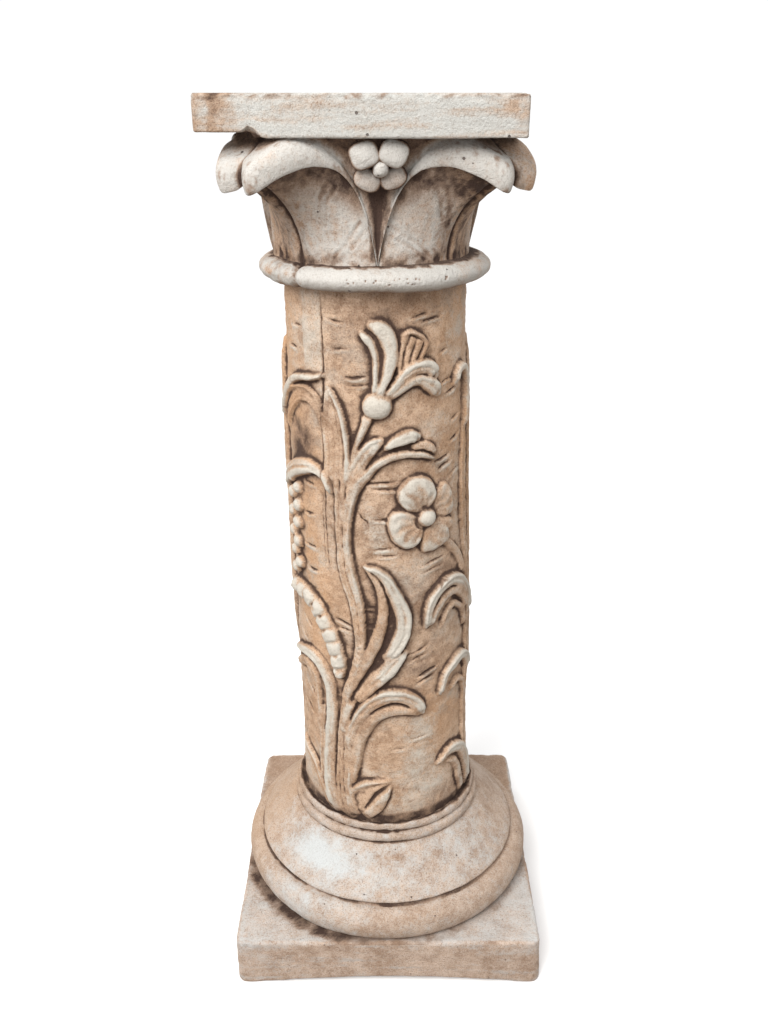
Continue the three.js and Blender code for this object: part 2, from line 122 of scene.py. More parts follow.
def smooth_table(at, stations, values):
    """A cubic through the table's points or rows, with the slope of the neighbours' chord at each."""
    stations, values = np.asarray(stations, float), np.asarray(values, float)
    slope = np.gradient(values, stations, axis=0)
    k = np.clip(np.searchsorted(stations, at) - 1, 0, len(stations) - 2)
    gap = stations[k + 1] - stations[k]
    t = np.clip((at - stations[k]) / gap, 0, 1)
    if values.ndim > 1:
        gap, t = gap[:, None], t[:, None]
    return ((2 * t ** 3 - 3 * t ** 2 + 1) * values[k] + (t ** 3 - 2 * t ** 2 + t) * gap * slope[k]
            + (3 * t ** 2 - 2 * t ** 3) * values[k + 1] + (t ** 3 - t ** 2) * gap * slope[k + 1])


def along_line(points, step):
    """Rows of numbers at equal steps along a smooth line through `points`, by chord length."""
    points = np.asarray(points, float)
    chord = np.concatenate([[0], np.cumsum(np.hypot(*np.diff(points[:, :2], axis=0).T))])
    at = np.linspace(0, chord[-1], max(4, int(chord[-1] / step)))
    return smooth_table(at, chord, points)


def normals_of(grid):
    """Outward unit normals of a grid that wraps round, from the differences of its neighbours."""
    across = np.roll(grid, -1, 1) - np.roll(grid, 1, 1)
    up = np.gradient(grid, axis=0)
    normal = np.cross(across, up)
    return normal / np.maximum(np.linalg.norm(normal, axis=-1, keepdims=True), 1e-9)


def hollow_of(grid, rows, columns):
    """How far the blurred surface stands outside the surface, in mm: above 0 in a hollow."""
    blurred = np.stack([soften(grid[..., k], rows, columns) for k in range(3)], -1)
    return np.sum((blurred - grid) * normals_of(grid), -1)


def to_frame(points):
    """Slides level sections to the left with height, raises all by CORNER_DROP, and turns it to metres."""
    x, y, z = np.moveaxis(points, -1, 0)
    slide = LEAN * np.clip(np.minimum(z, LEAN_END) - LEAN_START, 0, None)
    return np.stack([x - slide, y, z + CORNER_DROP], -1) * 0.001


def turned(points, degrees, shift):
    """The points turned about the column's axis and moved to the side."""
    angle = math.radians(degrees)
    x, y, z = np.moveaxis(points, -1, 0)
    return np.stack([x * math.cos(angle) - y * math.sin(angle) + shift,
                     x * math.sin(angle) + y * math.cos(angle), z], -1)


# Meshes

def add_piece(name, grids, material, most=None):
    """Closed shells, one per grid of points with its wear-and-light, soiling-and-shade and warmth values:
    quads between rows, fans at both poles.
    """
    places, corners, sizes, layers, first = [], [], [], [[], [], []], 0
    for points, *values in grids:
        rows, columns = points.shape[:2]
        number = first + np.arange(rows * columns).reshape(rows, columns)
        right = np.roll(number, -1, 1)
        quads = np.stack([number[:-1], right[:-1], right[1:], number[1:]], -1).reshape(-1, 4)
        low, high = first + rows * columns, first + rows * columns + 1
        fans = np.concatenate([
            np.stack([np.full(columns, low), right[0], number[0]], -1),
            np.stack([np.full(columns, high), number[-1], right[-1]], -1)])
        flat = points.reshape(-1, 3)
        places.append(np.concatenate([flat, [points[0].mean(0)], [points[-1].mean(0)]]))
        for layer, value in zip(layers, values):
            value = np.broadcast_to(value, (rows, columns))
            layer.append(np.concatenate([value.ravel(), [value[0].mean(), value[-1].mean()]]))
        corners += [quads.ravel(), fans.ravel()]
        sizes += [np.full(len(quads), 4), np.full(len(fans), 3)]
        first = high + 1
    place, corner, size = np.concatenate(places), np.concatenate(corners), np.concatenate(sizes)
    mesh = bpy.data.meshes.new(name)
    mesh.vertices.add(len(place))
    mesh.vertices.foreach_set("co", to_frame(place).astype(np.float32).ravel())
    mesh.loops.add(len(corner))
    mesh.loops.foreach_set("vertex_index", corner.astype(np.int32))
    mesh.polygons.add(len(size))
    mesh.polygons.foreach_set("loop_start", (np.cumsum(size) - size).astype(np.int32))
    mesh.update(calc_edges=True)
    mesh.shade_smooth()
    # The first value is rubbed-off wash plus painted highlight and painted shade; the second is soiling plus
    # painted shade.
    for label, layer in zip(("rub_and_light", "grime_and_shade", "warm"), layers):
        attribute = mesh.attributes.new(label, "FLOAT", "POINT")
        attribute.data.foreach_set("value", np.clip(np.concatenate(layer), 0, 1).astype(np.float32))
    piece = bpy.data.objects.new(name, mesh)
    bpy.context.scene.collection.objects.link(piece)
    mesh.materials.append(material)
    triangles = int((size - 2).sum())
    if most and triangles > most:
        thin = piece.modifiers.new("thin", "DECIMATE")
        thin.ratio = most / triangles
    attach(piece, "root")
    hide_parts("column")
    return piece


# Slabs

def square_ring(side, corner, count):
    """Anchors on an inner square and ways out of it: a rounded square is anchor + way * corner."""
    inner = side / 2 - corner
    run = np.linspace(-1, 1, count, endpoint=False) + 1 / count
    arc = np.radians(np.linspace(0, 90, 9)[1:-1])
    anchors, ways = [], []
    for turn in range(4):
        c, s = (1, 0, -1, 0)[turn], (0, 1, 0, -1)[turn]
        straight = np.stack([run * inner, np.full(count, -inner)], -1)
        bend = np.broadcast_to([inner, -inner], (len(arc), 2))
        anchor = np.concatenate([straight, bend])
        outward = np.broadcast_to([0.0, -1.0], (count, 2))
        way = np.concatenate([outward, np.stack([np.sin(arc), -np.cos(arc)], -1)])
        spin = np.array([[c, s], [-s, c]])
        anchors.append(anchor @ spin)
        ways.append(way @ spin)
    return np.concatenate(anchors), np.concatenate(ways)


def slab_grid(side, base, thick, corner, bevel, count, side_rows, face_rows):
    """Rows of rounded squares: out over the underside, up the sides and in again over the top."""
    anchor, way = square_ring(side, corner, count)
    quarter = np.radians(np.linspace(0, 90, 6))
    shares = np.linspace(0.04, 1, face_rows)[:-1]
    plan = [(share, bevel, base) for share in shares]
    plan += [(1, bevel * (1 - math.sin(q)), base + bevel * (1 - math.cos(q))) for q in quarter]
    plan += [(1, 0, z) for z in np.linspace(base + bevel, base + thick - bevel, side_rows)[1:-1]]
    plan += [(1, bevel * (1 - math.cos(q)), base + thick - bevel * (1 - math.sin(q))) for q in quarter]
    plan += [(share, bevel, base + thick) for share in shares[::-1]]
    rows = []
    for share, inset, z in plan:
        flat = (anchor + way * (corner - inset)) * share
        rows.append(np.concatenate([flat, np.full((len(flat), 1), z)], -1))
    return np.stack(rows)


def make_plinth(sizes, material):
    """The square plinth: a rounded slab whose lower edges arch up between the corners."""
    side, thick = sizes.plinth_side * 1000, sizes.plinth_thick * 1000
    grid = slab_grid(side, -CORNER_DROP, thick + CORNER_DROP, PLINTH_CORNER, PLINTH_BEVEL, 118, 34, 46)
    x, y, z = np.moveaxis(grid, -1, 0)
    half = side / 2
    across = np.minimum(np.abs(x), np.abs(y))
    edge = half - np.maximum(np.abs(x), np.abs(y))
    radius = (ARCH_REACH ** 2 + ARCH_RISE ** 2) / (2 * ARCH_RISE)
    rise = np.clip(ARCH_RISE - across ** 2 / (2 * radius), 0, None) * smoothstep(18, 14, edge)
    low = np.clip(1 - (z + CORNER_DROP) / (thick * 0.8), 0, 1)
    z = z + rise * low ** 1.5
    wave = fractal(grid, 60, 11, 2)
    swell = 0.8 * np.cos(math.pi * across / side) * (edge < 3)
    normal = normals_of(np.stack([x, y, z], -1))
    dings = fractal(grid, 9, 12, 3)
    arris = smoothstep(7, 1.5, edge) * smoothstep(thick - 8, thick - 1, z)
    points = np.stack([x, y, z], -1) + normal * (0.7 * wave + 0.25 * dings + swell)[..., None]
    points += normal * (-0.8 * arris * np.clip(fractal(grid, 6, 14, 2), 0, None))[..., None]
    flare = np.exp(-((x - half) ** 2 + (y + half) ** 2 + (z + 2) ** 2) / 30 ** 2)
    points[..., 0] += 2.0 * flare
    points[..., 2] = np.maximum(points[..., 2], -CORNER_DROP)
    reach = np.hypot(x, y)
    azimuth = np.degrees(np.arctan2(x, -y))
    leftward = peak(azimuth, -45, 38)
    # foot is a band on the top face round the torus: painted contact shade where the torus stands, with
    # soiling.
    foot = smoothstep(136 + 4 * leftward, 130.5, reach + 3.4 * fractal(grid, 7, 18, 4)) * (z > thick - 2)
    streak = fractal(grid * [0.2, 0.2, 3.0], 10, 15, 4)
    front = smoothstep(3.5, 1.0, edge)
    mottle = fractal(grid, 12, 17, 4)
    back = smoothstep(10, 110, y) * (1 - front)
    ends = smoothstep(80, 128, np.abs(x)) * front
    rub_and_light = 0.5 + 0.08 * wave + 0.14 * mottle + (0.26 * streak - 0.31 + 0.12 * ends) * front
    rub_and_light = rub_and_light + 0.18 * arris - 0.6 * back
    grime_and_shade = foot * (0.3 + 0.6 * leftward) * (0.9 + 0.5 * fractal(grid, 7, 16, 3))
    grime_and_shade = grime_and_shade + 0.22 * front * np.clip(streak, 0, 1)
    grime_and_shade = grime_and_shade + 0.25 * smoothstep(-1, -5, z) * front
    grime_and_shade = grime_and_shade + 0.1 * np.clip(mottle, 0, 1) * (1 - front) + 0.3 * back
    warm = 0.16 + 0.15 * streak + 0.5 * back
    return add_piece("column_plinth", [(points, rub_and_light, grime_and_shade, warm)], material)


# Turned work

def turned_grid(outline, columns):
    """A surface of revolution: each (radius, height) of the outline is one ring of points."""
    angle = np.linspace(0, TURN_ROUND, columns, endpoint=False)
    radius, z = outline[:, :1], outline[:, 1:2]
    return np.stack([radius * np.sin(angle), -radius * np.cos(angle), z + 0 * angle], -1)


def bulge(inner, outer, middle, half, steps):
    """Half an ellipse that swells from `inner` to `outer` between two heights."""
    angle = np.linspace(-math.pi / 2, math.pi / 2, steps)
    return np.stack([inner + (outer - inner) * np.cos(angle), middle + half * np.sin(angle)], -1)


def make_foot(sizes, material):
    """The moulded foot: torus, groove, bell and two thin ribs, turned and then worn by noise."""
    torus = sizes.torus_radius * 1000
    outline = np.concatenate([
        [[104, 34], [116, 36]],
        bulge(116.5, torus, 53.4, 15.6, 40),
        [[115.8, 69.6], [114.9, 70.4], [115.2, 71.4]],
        along_line([(116.3, 72.6), (115.2, 74.3), (110, 80), (99, 91), (88, 103), (83.2, 106.8)], 1.2),
        bulge(81.5, 84.2, 111.6, 4.6, 14)[1:],
        bulge(78.4, 80.8, 120.2, 3.9, 14)[1:],
        [[77.2, 123.6], [76.2, 122.4], [70, 121.6], [64, 121.6]],
    ])
    grid = turned_grid(along_line(outline, 0.95), 460)
    x, y, z = np.moveaxis(grid, -1, 0)
    reach = np.hypot(x, y)
    normal = normals_of(grid)
    ribs = smoothstep(105, 108, z)
    worn = 0.55 * fractal(grid, 55, 21, 2) + 0.2 * fractal(grid, 8, 22, 3)
    worn = worn + ribs * (0.6 * fractal(grid, 16, 23, 2) + 0.42 * fractal(grid, 5, 24, 3))
    points = grid + normal * worn[..., None]
    hollow = hollow_of(points, 2.2, 1.2)
    azimuth = np.degrees(np.arctan2(x, -y))
    blotch = fractal(grid, 30, 25, 4)
    fine = fractal(grid, 7, 28, 3)
    leftward = peak(azimuth, -25, 60)
    groove = smoothstep(0.1, 0.6, hollow * (1 + 0.6 * fractal(grid, 18, 26, 3)))
    # pale is a painted highlight on the bell's upper left and on the torus's left, over the worn wash.
    pale = np.exp(-((azimuth + 34) / 18) ** 2 - ((reach - 99) / 9) ** 2)
    pale = pale + 0.6 * np.exp(-((azimuth + 38) / 22) ** 2 - ((reach - 125) / 8) ** 2)
    torus_part = smoothstep(114, 118, reach)
    side = smoothstep(45, 100, np.abs(azimuth))
    rub_and_light = 0.41 + 0.06 * blotch + 0.14 * fine + 0.62 * pale - 0.18 * torus_part - 0.1 * ribs - 0.3 * side
    # under is painted contact shade on the torus's underside by the plinth, with soiling.
    under = smoothstep(47, 38, z) * (reach > 100)
    # recess is painted shade where the shaft's bottom stands in the foot's recess.
    recess = smoothstep(79.5, 78.0, reach + 1.2 * fine)
    grime_and_shade = groove * (0.5 + 0.45 * leftward - 0.3 * blotch) + 0.8 * under + 0.1 * blotch
    grime_and_shade = grime_and_shade + recess * (0.7 + 0.3 * fractal(grid, 9, 27, 3))
    warm = 0.2 + 0.6 * smoothstep(50, 85, -azimuth) + 0.15 * blotch
    return add_piece("column_foot", [(points, rub_and_light, grime_and_shade, warm)], material)


def make_ring(sizes, material):
    """The ring under the capital: a turned bulge worn by noise, with random pits and a battered left end."""
    outline = np.concatenate([
        [[60, RING_MIDDLE - RING_HALF + 1]],
        bulge(NECK_RADIUS - 3, RING_RADIUS, RING_MIDDLE, RING_HALF, 46),
        [[60, RING_MIDDLE + RING_HALF - 1]],
    ])
    grid = turned_grid(along_line(outline, 0.8), 720)
    normal = normals_of(grid)
    x, y, z = np.moveaxis(grid, -1, 0)
    azimuth = np.degrees(np.arctan2(x, -y))
    battered = peak(azimuth, -52, 24)
    rough = 0.7 * fractal(grid, 40, 31, 2) + (0.28 + 0.5 * battered) * fractal(grid, 7, 32, 3)
    pits = np.zeros_like(rough)
    rng = np.random.default_rng(31)
    draws = [rng.uniform(low, high, RING_PITS) for low, high in ((-14, 36), (-3.5, 4.5), (0.4, 0.95))]
    for turn, height, size in zip(*draws):
        angle = math.radians(turn)
        place = [RING_RADIUS * math.sin(angle), -RING_RADIUS * math.cos(angle), RING_MIDDLE + height]
        pits = np.maximum(pits, np.exp(-(np.linalg.norm(grid - place, axis=-1) / size) ** 4))
    points = grid + normal * (rough - 1.1 * pits)[..., None]
    seam = peak(azimuth, -41, 2.4)
    points -= normal * (1.8 * seam)[..., None]
    fine = fractal(grid, 5, 34, 3)
    # top is painted shade where the leaves' neck sits on the ring, with soiling.
    top = smoothstep(RING_MIDDLE + 7.2, RING_MIDDLE + 8.9, z + 0.8 * fine)
    # low is painted shade on the ring's underside.
    low = smoothstep(RING_MIDDLE - 4, RING_MIDDLE - 9, z)
    side = smoothstep(28, 64, np.abs(azimuth))
    rub_and_light = 0.95 + 0.2 * fractal(grid, 20, 33, 3) + 0.3 * fine * (0.4 + battered) - 0.35 * side - 0.3 * low
    grime_and_shade = 0.85 * top + 0.5 * low + 0.5 * seam * (0.7 + fine) + 0.8 * pits
    grime_and_shade = grime_and_shade + (0.2 * side + 0.3 * battered) * np.clip(fractal(grid, 11, 35, 3), 0, 1)
    warm = 0.2 + 0.6 * smoothstep(30, 65, np.abs(azimuth))
    return add_piece("column_ring", [(points, rub_and_light, grime_and_shade, warm)], material)


# The carved shaft. Places on it are (round, height): millimetres round the shaft at the
# carving radius, zero at the front, and height.

# Sections: places across a stroke from -1 on its left to 1, and the share of its height there
ROUND = ((-1, 0), (-0.95, 0.5), (-0.78, 0.84), (-0.4, 0.98), (0, 1), (0.4, 0.98), (0.78, 0.84),
    (0.95, 0.5), (1, 0))
GROOVED = ((-1, 0), (-0.95, 0.55), (-0.78, 0.9), (-0.4, 1), (-0.08, 0.93), (0.04, 0.66), (0.16, 0.92),
    (0.42, 0.9), (0.54, 0.68), (0.66, 0.84), (0.93, 0.5), (1, 0))
GROOVED_RIGHT = tuple((-across, share) for across, share in GROOVED[::-1])
RIM_LEFT = ((-1, 0), (-0.95, 0.7), (-0.78, 1), (-0.55, 0.92), (-0.25, 0.5), (0.1, 0.38), (0.5, 0.52),
    (0.9, 0.5), (1, 0))
RIMS = ((-1, 0), (-0.93, 0.75), (-0.74, 1), (-0.4, 0.7), (0, 0.56), (0.4, 0.7), (0.74, 1), (0.93, 0.75),
    (1, 0))
LEAF = ((-1, 0), (-0.95, 0.85), (-0.84, 1), (-0.7, 0.95), (-0.58, 0.42), (-0.4, 0.66), (-0.28, 0.4),
    (-0.1, 0.7), (0.05, 0.42), (0.3, 0.7), (0.45, 0.42), (0.7, 0.64), (0.9, 0.5), (1, 0))
BAND = ((-1, 0), (-0.95, 0.7), (-0.72, 1), (-0.4, 0.94), (-0.16, 0.72), (0.06, 0.86), (0.3, 0.9),
    (0.5, 0.7), (0.74, 0.78), (0.93, 0.55), (1, 0))
FLUTES = ((-1, 0), (-0.93, 0.8), (-0.66, 0.9), (-0.52, 0.45), (-0.38, 0.95), (-0.12, 1), (0.02, 0.5),
    (0.16, 1), (0.42, 0.95), (0.55, 0.45), (0.7, 1), (0.93, 0.9), (1, 0))
SQUARE_ENDED = (FLUTES,)

# Strokes: height, section, how much cream is left on it, on the back as well, and the line of
# (round, height, half width)
STROKES = (
    # The upright leaf over the stem
    (5.8, LEAF, 0.85, False, ((-38, 503.5, 2.6), (-35.6, 497, 5.6), (-34, 489, 8.4), (-32.8, 480, 10),
     (-32, 470, 11), (-31.5, 459, 11.6), (-32, 446, 11.4), (-32.5, 432, 10.5))),
    # The hooked leaf at the upper left: body and rim
    (4.8, LEAF, 0.2, True, ((-98, 466, 7), (-88, 480, 7), (-78, 489, 7), (-67, 495, 6.6),
     (-56, 495.5, 6.4), (-49, 490, 5), (-44.5, 480, 3), (-43.6, 470, 1.6))),
    (6.0, ROUND, 0.72, True, ((-104, 468, 3.2), (-97, 479, 3.8), (-88, 491, 4), (-79, 500, 4),
     (-70, 506, 3.6), (-61, 508.5, 3), (-51, 510, 2.4), (-42, 512.5, 1.8))),
    # The lily: back petal, left petal, right petal and stalk
    (4.6, FLUTES, 0.12, False, ((21, 514, 6.5), (24, 524, 9.2), (27, 533, 11), (30.4, 540.5, 11.6))),
    (5.0, ROUND, 0.2, False, ((19.4, 543.6, 1.4), (25, 545.6, 1.8), (31, 544, 1.8), (37, 540.2, 1.7),
     (40.6, 535, 1.4))),
    (3.4, ROUND, 0.3, False, ((0.5, 504, 3), (2.6, 516, 3.8), (4, 526, 4.2), (3, 535, 4),
     (-0.4, 542, 3.2))),
    (5.6, ROUND, 0.85, False, ((-1.4, 503, 1.8), (-0.6, 514, 2), (0.3, 523, 2.2), (0, 530.5, 2.6),
     (-2.2, 536.8, 3), (-5.6, 541.6, 3.3), (-9, 545, 2.4))),
    (6.4, ROUND, 0.95, True, ((2, 500, 3), (4.6, 509, 3.8), (8.2, 517.4, 4.5), (10.4, 524.5, 5.2),
     (10.9, 532.4, 5.7), (9.6, 540, 6.3), (7.2, 545.4, 6.6), (3.2, 549, 6), (-1.6, 550.8, 4))),
    (5.2, GROOVED, 0.8, False, ((10, 498.5, 2.4), (17.5, 504.5, 3.4), (25, 509.2, 4), (32.5, 510.4, 4.6),
     (39.5, 507.6, 5.6), (45.4, 503, 6.2), (48.6, 499.4, 4.8))),
    (6.4, GROOVED, 0.95, True, ((7, 500, 2.6), (14.6, 509.4, 3.8), (23, 517.2, 5), (31, 520.2, 5.7),
     (38.5, 519.6, 5.9), (43.6, 516.4, 5.8), (46, 513.4, 4.6))),
    (4.5, ROUND, 0.5, False, ((-6.5, 486, 4), (-8.8, 478.5, 3.2), (-12.4, 470.5, 2.8), (-15.8, 461, 2.5),
     (-18.5, 450, 2.4), (-21.5, 440, 2.2))),
    # The three-lobed leaf: the third lobe, the first, the second, and its lower strand
    (4.2, ROUND, 0.5, True, ((27, 461, 2.4), (35, 460.8, 3.6), (41.5, 457.8, 3.6), (45.2, 454, 2))),
    (5.4, BAND, 0.9, True, ((-23, 430, 4), (-17.8, 441, 5.4), (-12, 451.4, 6), (-7.4, 458.4, 5.8),
     (-3, 463.6, 5.2), (1.6, 466, 3.4))),
    (5.9, ROUND, 0.95, True, ((6.5, 461, 2.4), (11.5, 465, 4), (17.4, 467.6, 5.4), (24, 469.2, 5.4),
     (29.3, 468, 4.2))),
    (5.4, GROOVED, 0.62, True, ((-29, 398, 3), (-23.5, 414, 4), (-17.4, 428, 4.2), (-10, 438.4, 4),
     (-0.8, 447.8, 3.2), (9.4, 453.6, 3), (21.5, 455.6, 2.8), (33, 453.8, 2.7), (40, 451, 1.9),
     (46.4, 447.6, 0.8))),
    # The stem of the open flower
    (3.8, GROOVED, 0.36, True, ((52, 380, 3.2), (60, 374.5, 3.4), (68, 366.5, 3.6), (74.6, 357, 3.6),
     (81, 343, 4.2))),
    # The middle leaf: inner band, lower lobe and bright outer band
    (4.6, ROUND, 0.3, True, ((-12, 363.6, 1), (-5.6, 356, 2.6), (-0.4, 346, 3.2), (1.6, 335, 3.8),
     (1, 322, 4.2), (-1.4, 309.6, 4.8), (-6.4, 296.6, 5.4), (-12, 284, 5.6), (-18.4, 271, 5.2),
     (-25, 257.6, 5), (-30, 245, 4.4))),
    (5.2, GROOVED, 0.4, True, ((5, 275, 7), (-4.4, 265, 7), (-13, 254.4, 5.6), (-21, 244.4, 4))),
    (6.0, GROOVED, 0.95, True, ((16.8, 288.6, 3.4), (11, 283, 6.2), (5.4, 276.4, 7.2), (0.6, 270.6, 6.6),
     (-3, 266, 5))),
    (6.8, BAND, 1.0, True, ((-12.4, 365.4, 1.2), (-4, 362.6, 3), (3.6, 355.4, 4.4), (9, 344.4, 5.2),
     (13.4, 334.4, 5.8), (16.4, 325, 6.4), (17.2, 314.4, 6.2), (14.6, 303.6, 6.2), (10.4, 294.6, 5.6),
     (4, 286, 4))),
    # The lower right leaf: inner band, small lobe and rim
    (4.8, ROUND, 0.36, True, ((-27, 158, 3), (-25, 178, 4.6), (-22.6, 194, 5.4), (-19, 209, 5.8),
     (-13, 221.6, 6.2), (-4, 231.4, 5.6), (7.6, 236, 5), (18.4, 234.8, 4.2), (28, 229.6, 3))),
    (6.2, ROUND, 0.55, False, ((-32.6, 212, 3), (-30.8, 224, 4), (-28, 234.6, 4.6), (-24.6, 241.4, 3.8))),
    (6.4, BAND, 0.78, True, ((-28, 196, 2.4), (-26, 211, 3.6), (-21.6, 224.4, 4.6), (-15.4, 235.4, 5.4),
     (-7, 244.4, 6.2), (2, 249.6, 6.4), (12, 249.4, 6.2), (21, 245, 6), (28, 238, 5.4),
     (31, 230.6, 3.6))),
    # The folded leaf at the foot
    (5.4, RIM_LEFT, 0.6, False, ((-25, 134, 8), (-21.6, 148, 9.4), (-15, 157, 8.4), (-6, 162, 5),
     (4, 165.4, 1.4))),
    (4.6, ROUND, 0.45, False, ((-15, 130, 5), (-8, 138, 6), (-2, 148, 5), (4, 158.6, 1.4))),
    # The lower left leaf with its long pale strands
    (3.6, GROOVED, 0.45, False, ((-98, 248, 3), (-84, 256, 4.6), (-73, 259.4, 5), (-64, 253, 5),
     (-59.4, 240, 4.4), (-58.6, 224, 3.6), (-59, 200, 2.6))),
    (5.4, GROOVED_RIGHT, 0.95, True, ((-99, 262, 1.4), (-88, 268.6, 3), (-77, 271.6, 4.2),
     (-67, 273.4, 5.2), (-58.6, 272, 5.6), (-51.4, 266, 5.6), (-46, 256.6, 5.2), (-43.8, 244.6, 4.6),
     (-43.6, 226, 4.8), (-45.6, 200, 5.6), (-47.4, 174, 6.4), (-47.6, 152, 6.6), (-43, 130, 6))),
    (4.0, RIMS, 0.9, False, ((-53, 226, 2.4), (-54.4, 200, 3.2), (-56, 175, 3.4), (-55.4, 154, 3.4),
     (-52, 132, 3))),
    # The small leaf beside the foot of the stem
    (5.0, RIM_LEFT, 0.75, False, ((-88, 178, 1.4), (-78, 170.6, 4), (-69, 164.6, 4.6), (-62.6, 154, 4.8),
     (-56, 141, 4.6), (-49, 128, 4))),
    # The curl over the berries
    (6.3, GROOVED_RIGHT, 0.9, True, ((-105, 412, 5), (-95, 421, 7), (-85, 428.6, 7.8), (-75, 434, 7.6),
     (-65, 438, 6.8), (-55, 440, 5.4), (-47, 438.6, 4), (-41, 433, 2.8), (-37.6, 423, 1.6))),
    # The far left stem
    (5.0, ROUND, 0.4, True, ((-131, 235, 3), (-121, 285, 4.5), (-111, 335, 4.5), (-107, 410, 4.5),
     (-110, 480, 4), (-106, 528, 2))),
    # The right stem with its hooked head
    (3.6, RIMS, 0.45, True, ((88, 128, 4.6), (85, 160, 4.4), (83, 190, 4.2), (84, 225, 4.2),
     (91, 260, 4.4), (93, 300, 4.4), (87, 355, 4), (83, 395, 3.8), (83, 430, 3.8), (86, 470, 3.6))),
    (5.4, ROUND, 0.6, True, ((86, 465, 3.4), (88, 488, 3.4), (87, 503, 3.6), (81, 512, 3.8),
     (73, 511, 3.4), (69, 502, 2.4))),
    # The upper arched leaf on the right: inner bands and rim
    (3.4, ROUND, 0.3, False, ((52, 303, 1.5), (58, 315, 2.4), (66, 318.6, 2.8), (75, 314, 3),
     (82, 305, 3.2), (87, 292, 3))),
    (4.8, ROUND, 0.5, False, ((39.5, 309, 2.2), (44.6, 320.4, 3.4), (52, 328.6, 4), (60.6, 331.6, 4),
     (70, 329.6, 4), (79, 321.6, 3.8), (86, 308, 3.6))),
    (6.6, BAND, 0.95, True, ((36, 308, 2), (36.8, 318, 3.4), (40, 328, 4.2), (45.4, 336.4, 4.6),
     (53, 341.4, 5.2), (61, 342.6, 5.8), (70, 339.4, 6), (79, 331, 6), (88, 318, 5.4), (93, 300, 4))),
    # The middle arched leaf on the right
    (3.6, ROUND, 0.35, False, ((62, 240, 1.8), (68, 245, 2.6), (75, 243, 3), (81, 235.4, 3.2),
     (84, 222, 3))),
    (5.8, BAND, 0.9, False, ((49.6, 241.6, 2.4), (51.8, 250.6, 3.2), (56, 258.6, 3.6), (63, 262.4, 4.4),
     (71, 265.4, 4.8), (79, 265, 5), (86, 259, 4.6), (91, 246, 4))),
    # The lower arched leaf on the right
    (3.8, ROUND, 0.4, True, ((58, 168.6, 1.6), (64, 166.4, 3.4), (69.6, 158.4, 4), (73, 146, 4.4),
     (77, 130, 4.4))),
    (5.8, BAND, 0.8, True, ((46, 171.6, 1.8), (50.6, 177, 3.6), (57.6, 180, 4.8), (65.6, 179.6, 5.6),
     (74, 174.6, 5.8), (80.6, 163, 5.6), (85, 148, 5.4), (88, 130, 5.4))),
)

# The main stem as (round, height, breadth), and its strands: how far beside its line, half width,
# height and cream
STEM = ((-30, 128, 1.2), (-33, 145, 1.15), (-34, 162, 1.1), (-33.2, 182, 1), (-32.4, 200, 0.95),
    (-31.6, 215, 0.85), (-31, 230, 0.7), (-29.2, 245, 0.5), (-24.8, 263, 0.45), (-19.8, 281, 0.5),
    (-16.6, 304, 0.66), (-17.7, 319, 0.8), (-19.7, 336, 0.86), (-23.6, 350, 0.97), (-26.2, 362, 1),
    (-28, 382, 0.86), (-27.4, 400, 0.95), (-25.6, 418, 1.25), (-23.4, 436, 1.5), (-23, 452, 1.3))
STRANDS = ((0, 6.4, 2.0, 0.3), (-5.1, 1.7, 4.4, 0.5), (-1.6, 1.7, 5.0, 0.42), (1.9, 1.7, 5.5, 0.46),
    (5.0, 1.8, 5.6, 0.5))

# Lumps: round, height, half sizes along and across, tilt, height of the relief, cream
BUD = ((0.6, 493.8, 11.4, 10.4, 0, 8.5, 0.97),)
KNOB = ((36.4, 404.2, 7.8, 7.8, 0, 9.6, 0.95),)
BERRIES = tuple((u, z, 5.8, 5.6, 0, 6.2, 0.85) for u, z in (
    (-85, 424), (-75, 417), (-86, 410), (-76, 402), (-87, 394), (-78, 387), (-87, 377), (-79, 370),
    (-84, 361), (-77, 352), (-85, 345)))
POD = ((-92, 326, 6.5), (-80, 328.5, 7.6), (-67, 327, 8.2), (-56.6, 321, 8.2), (-49, 311.6, 8),
    (-42.6, 299, 7.8), (-38, 288, 7.4), (-35.4, 276, 7), (-34.8, 266, 4.8))

# The open flower's petals round its knob: height, cream, and the outline as (degrees, reach)
PETALS = (
    (3.4, 0.4, ((318, 20), (324, 29), (332, 32.5), (340, 32), (348, 24))),
    (4.6, 0.55, ((-16, 16), (-8, 25), (4, 28.4), (18, 30), (30, 30.6), (44, 31.4), (54, 30), (66, 22))),
    (5.0, 0.62, ((255, 16), (262, 27.4), (274, 31), (290, 31.6), (303, 33), (313, 34), (322, 29),
     (333, 18))),
    (6.0, 0.74, ((154, 14), (163, 25), (174, 29.6), (188, 31), (204, 31.6), (222, 31.4), (236, 30),
     (247, 25), (260, 14))),
    (6.4, 0.8, ((56, 12), (66, 21.4), (78, 28.6), (92, 33), (108, 35.6), (124, 34.6), (137, 31.4),
     (147, 26), (158, 15))),
)

# Places with more dirt: round, height, reach round and up, amount
STAINS = ((-22, 545, 26, 34, 0.14), (-72, 458, 17, 24, 0.75), (-20, 490, 14, 34, 0.2),
    (26, 552, 40, 16, 0.14), (38, 484, 14, 10, 0.2), (58, 352, 24, 16, 0.28), (-6, 318, 10, 26, 0.4),
    (36, 268, 26, 22, 0.26), (-62, 410, 9, 60, 0.14), (10, 420, 24, 12, 0.16), (46, 446, 22, 12, 0.16),
    (-72, 210, 18, 30, 0.14), (64, 210, 14, 20, 0.2), (14, 232, 30, 6, 0.16), (8, 372, 16, 10, 0.16),
    (22, 176, 34, 30, -0.14), (2, 400, 16, 34, -0.3), (62, 505, 22, 46, -0.16), (24, 566, 30, 10, 0.16),
    (50, 140, 22, 10, 0.24))

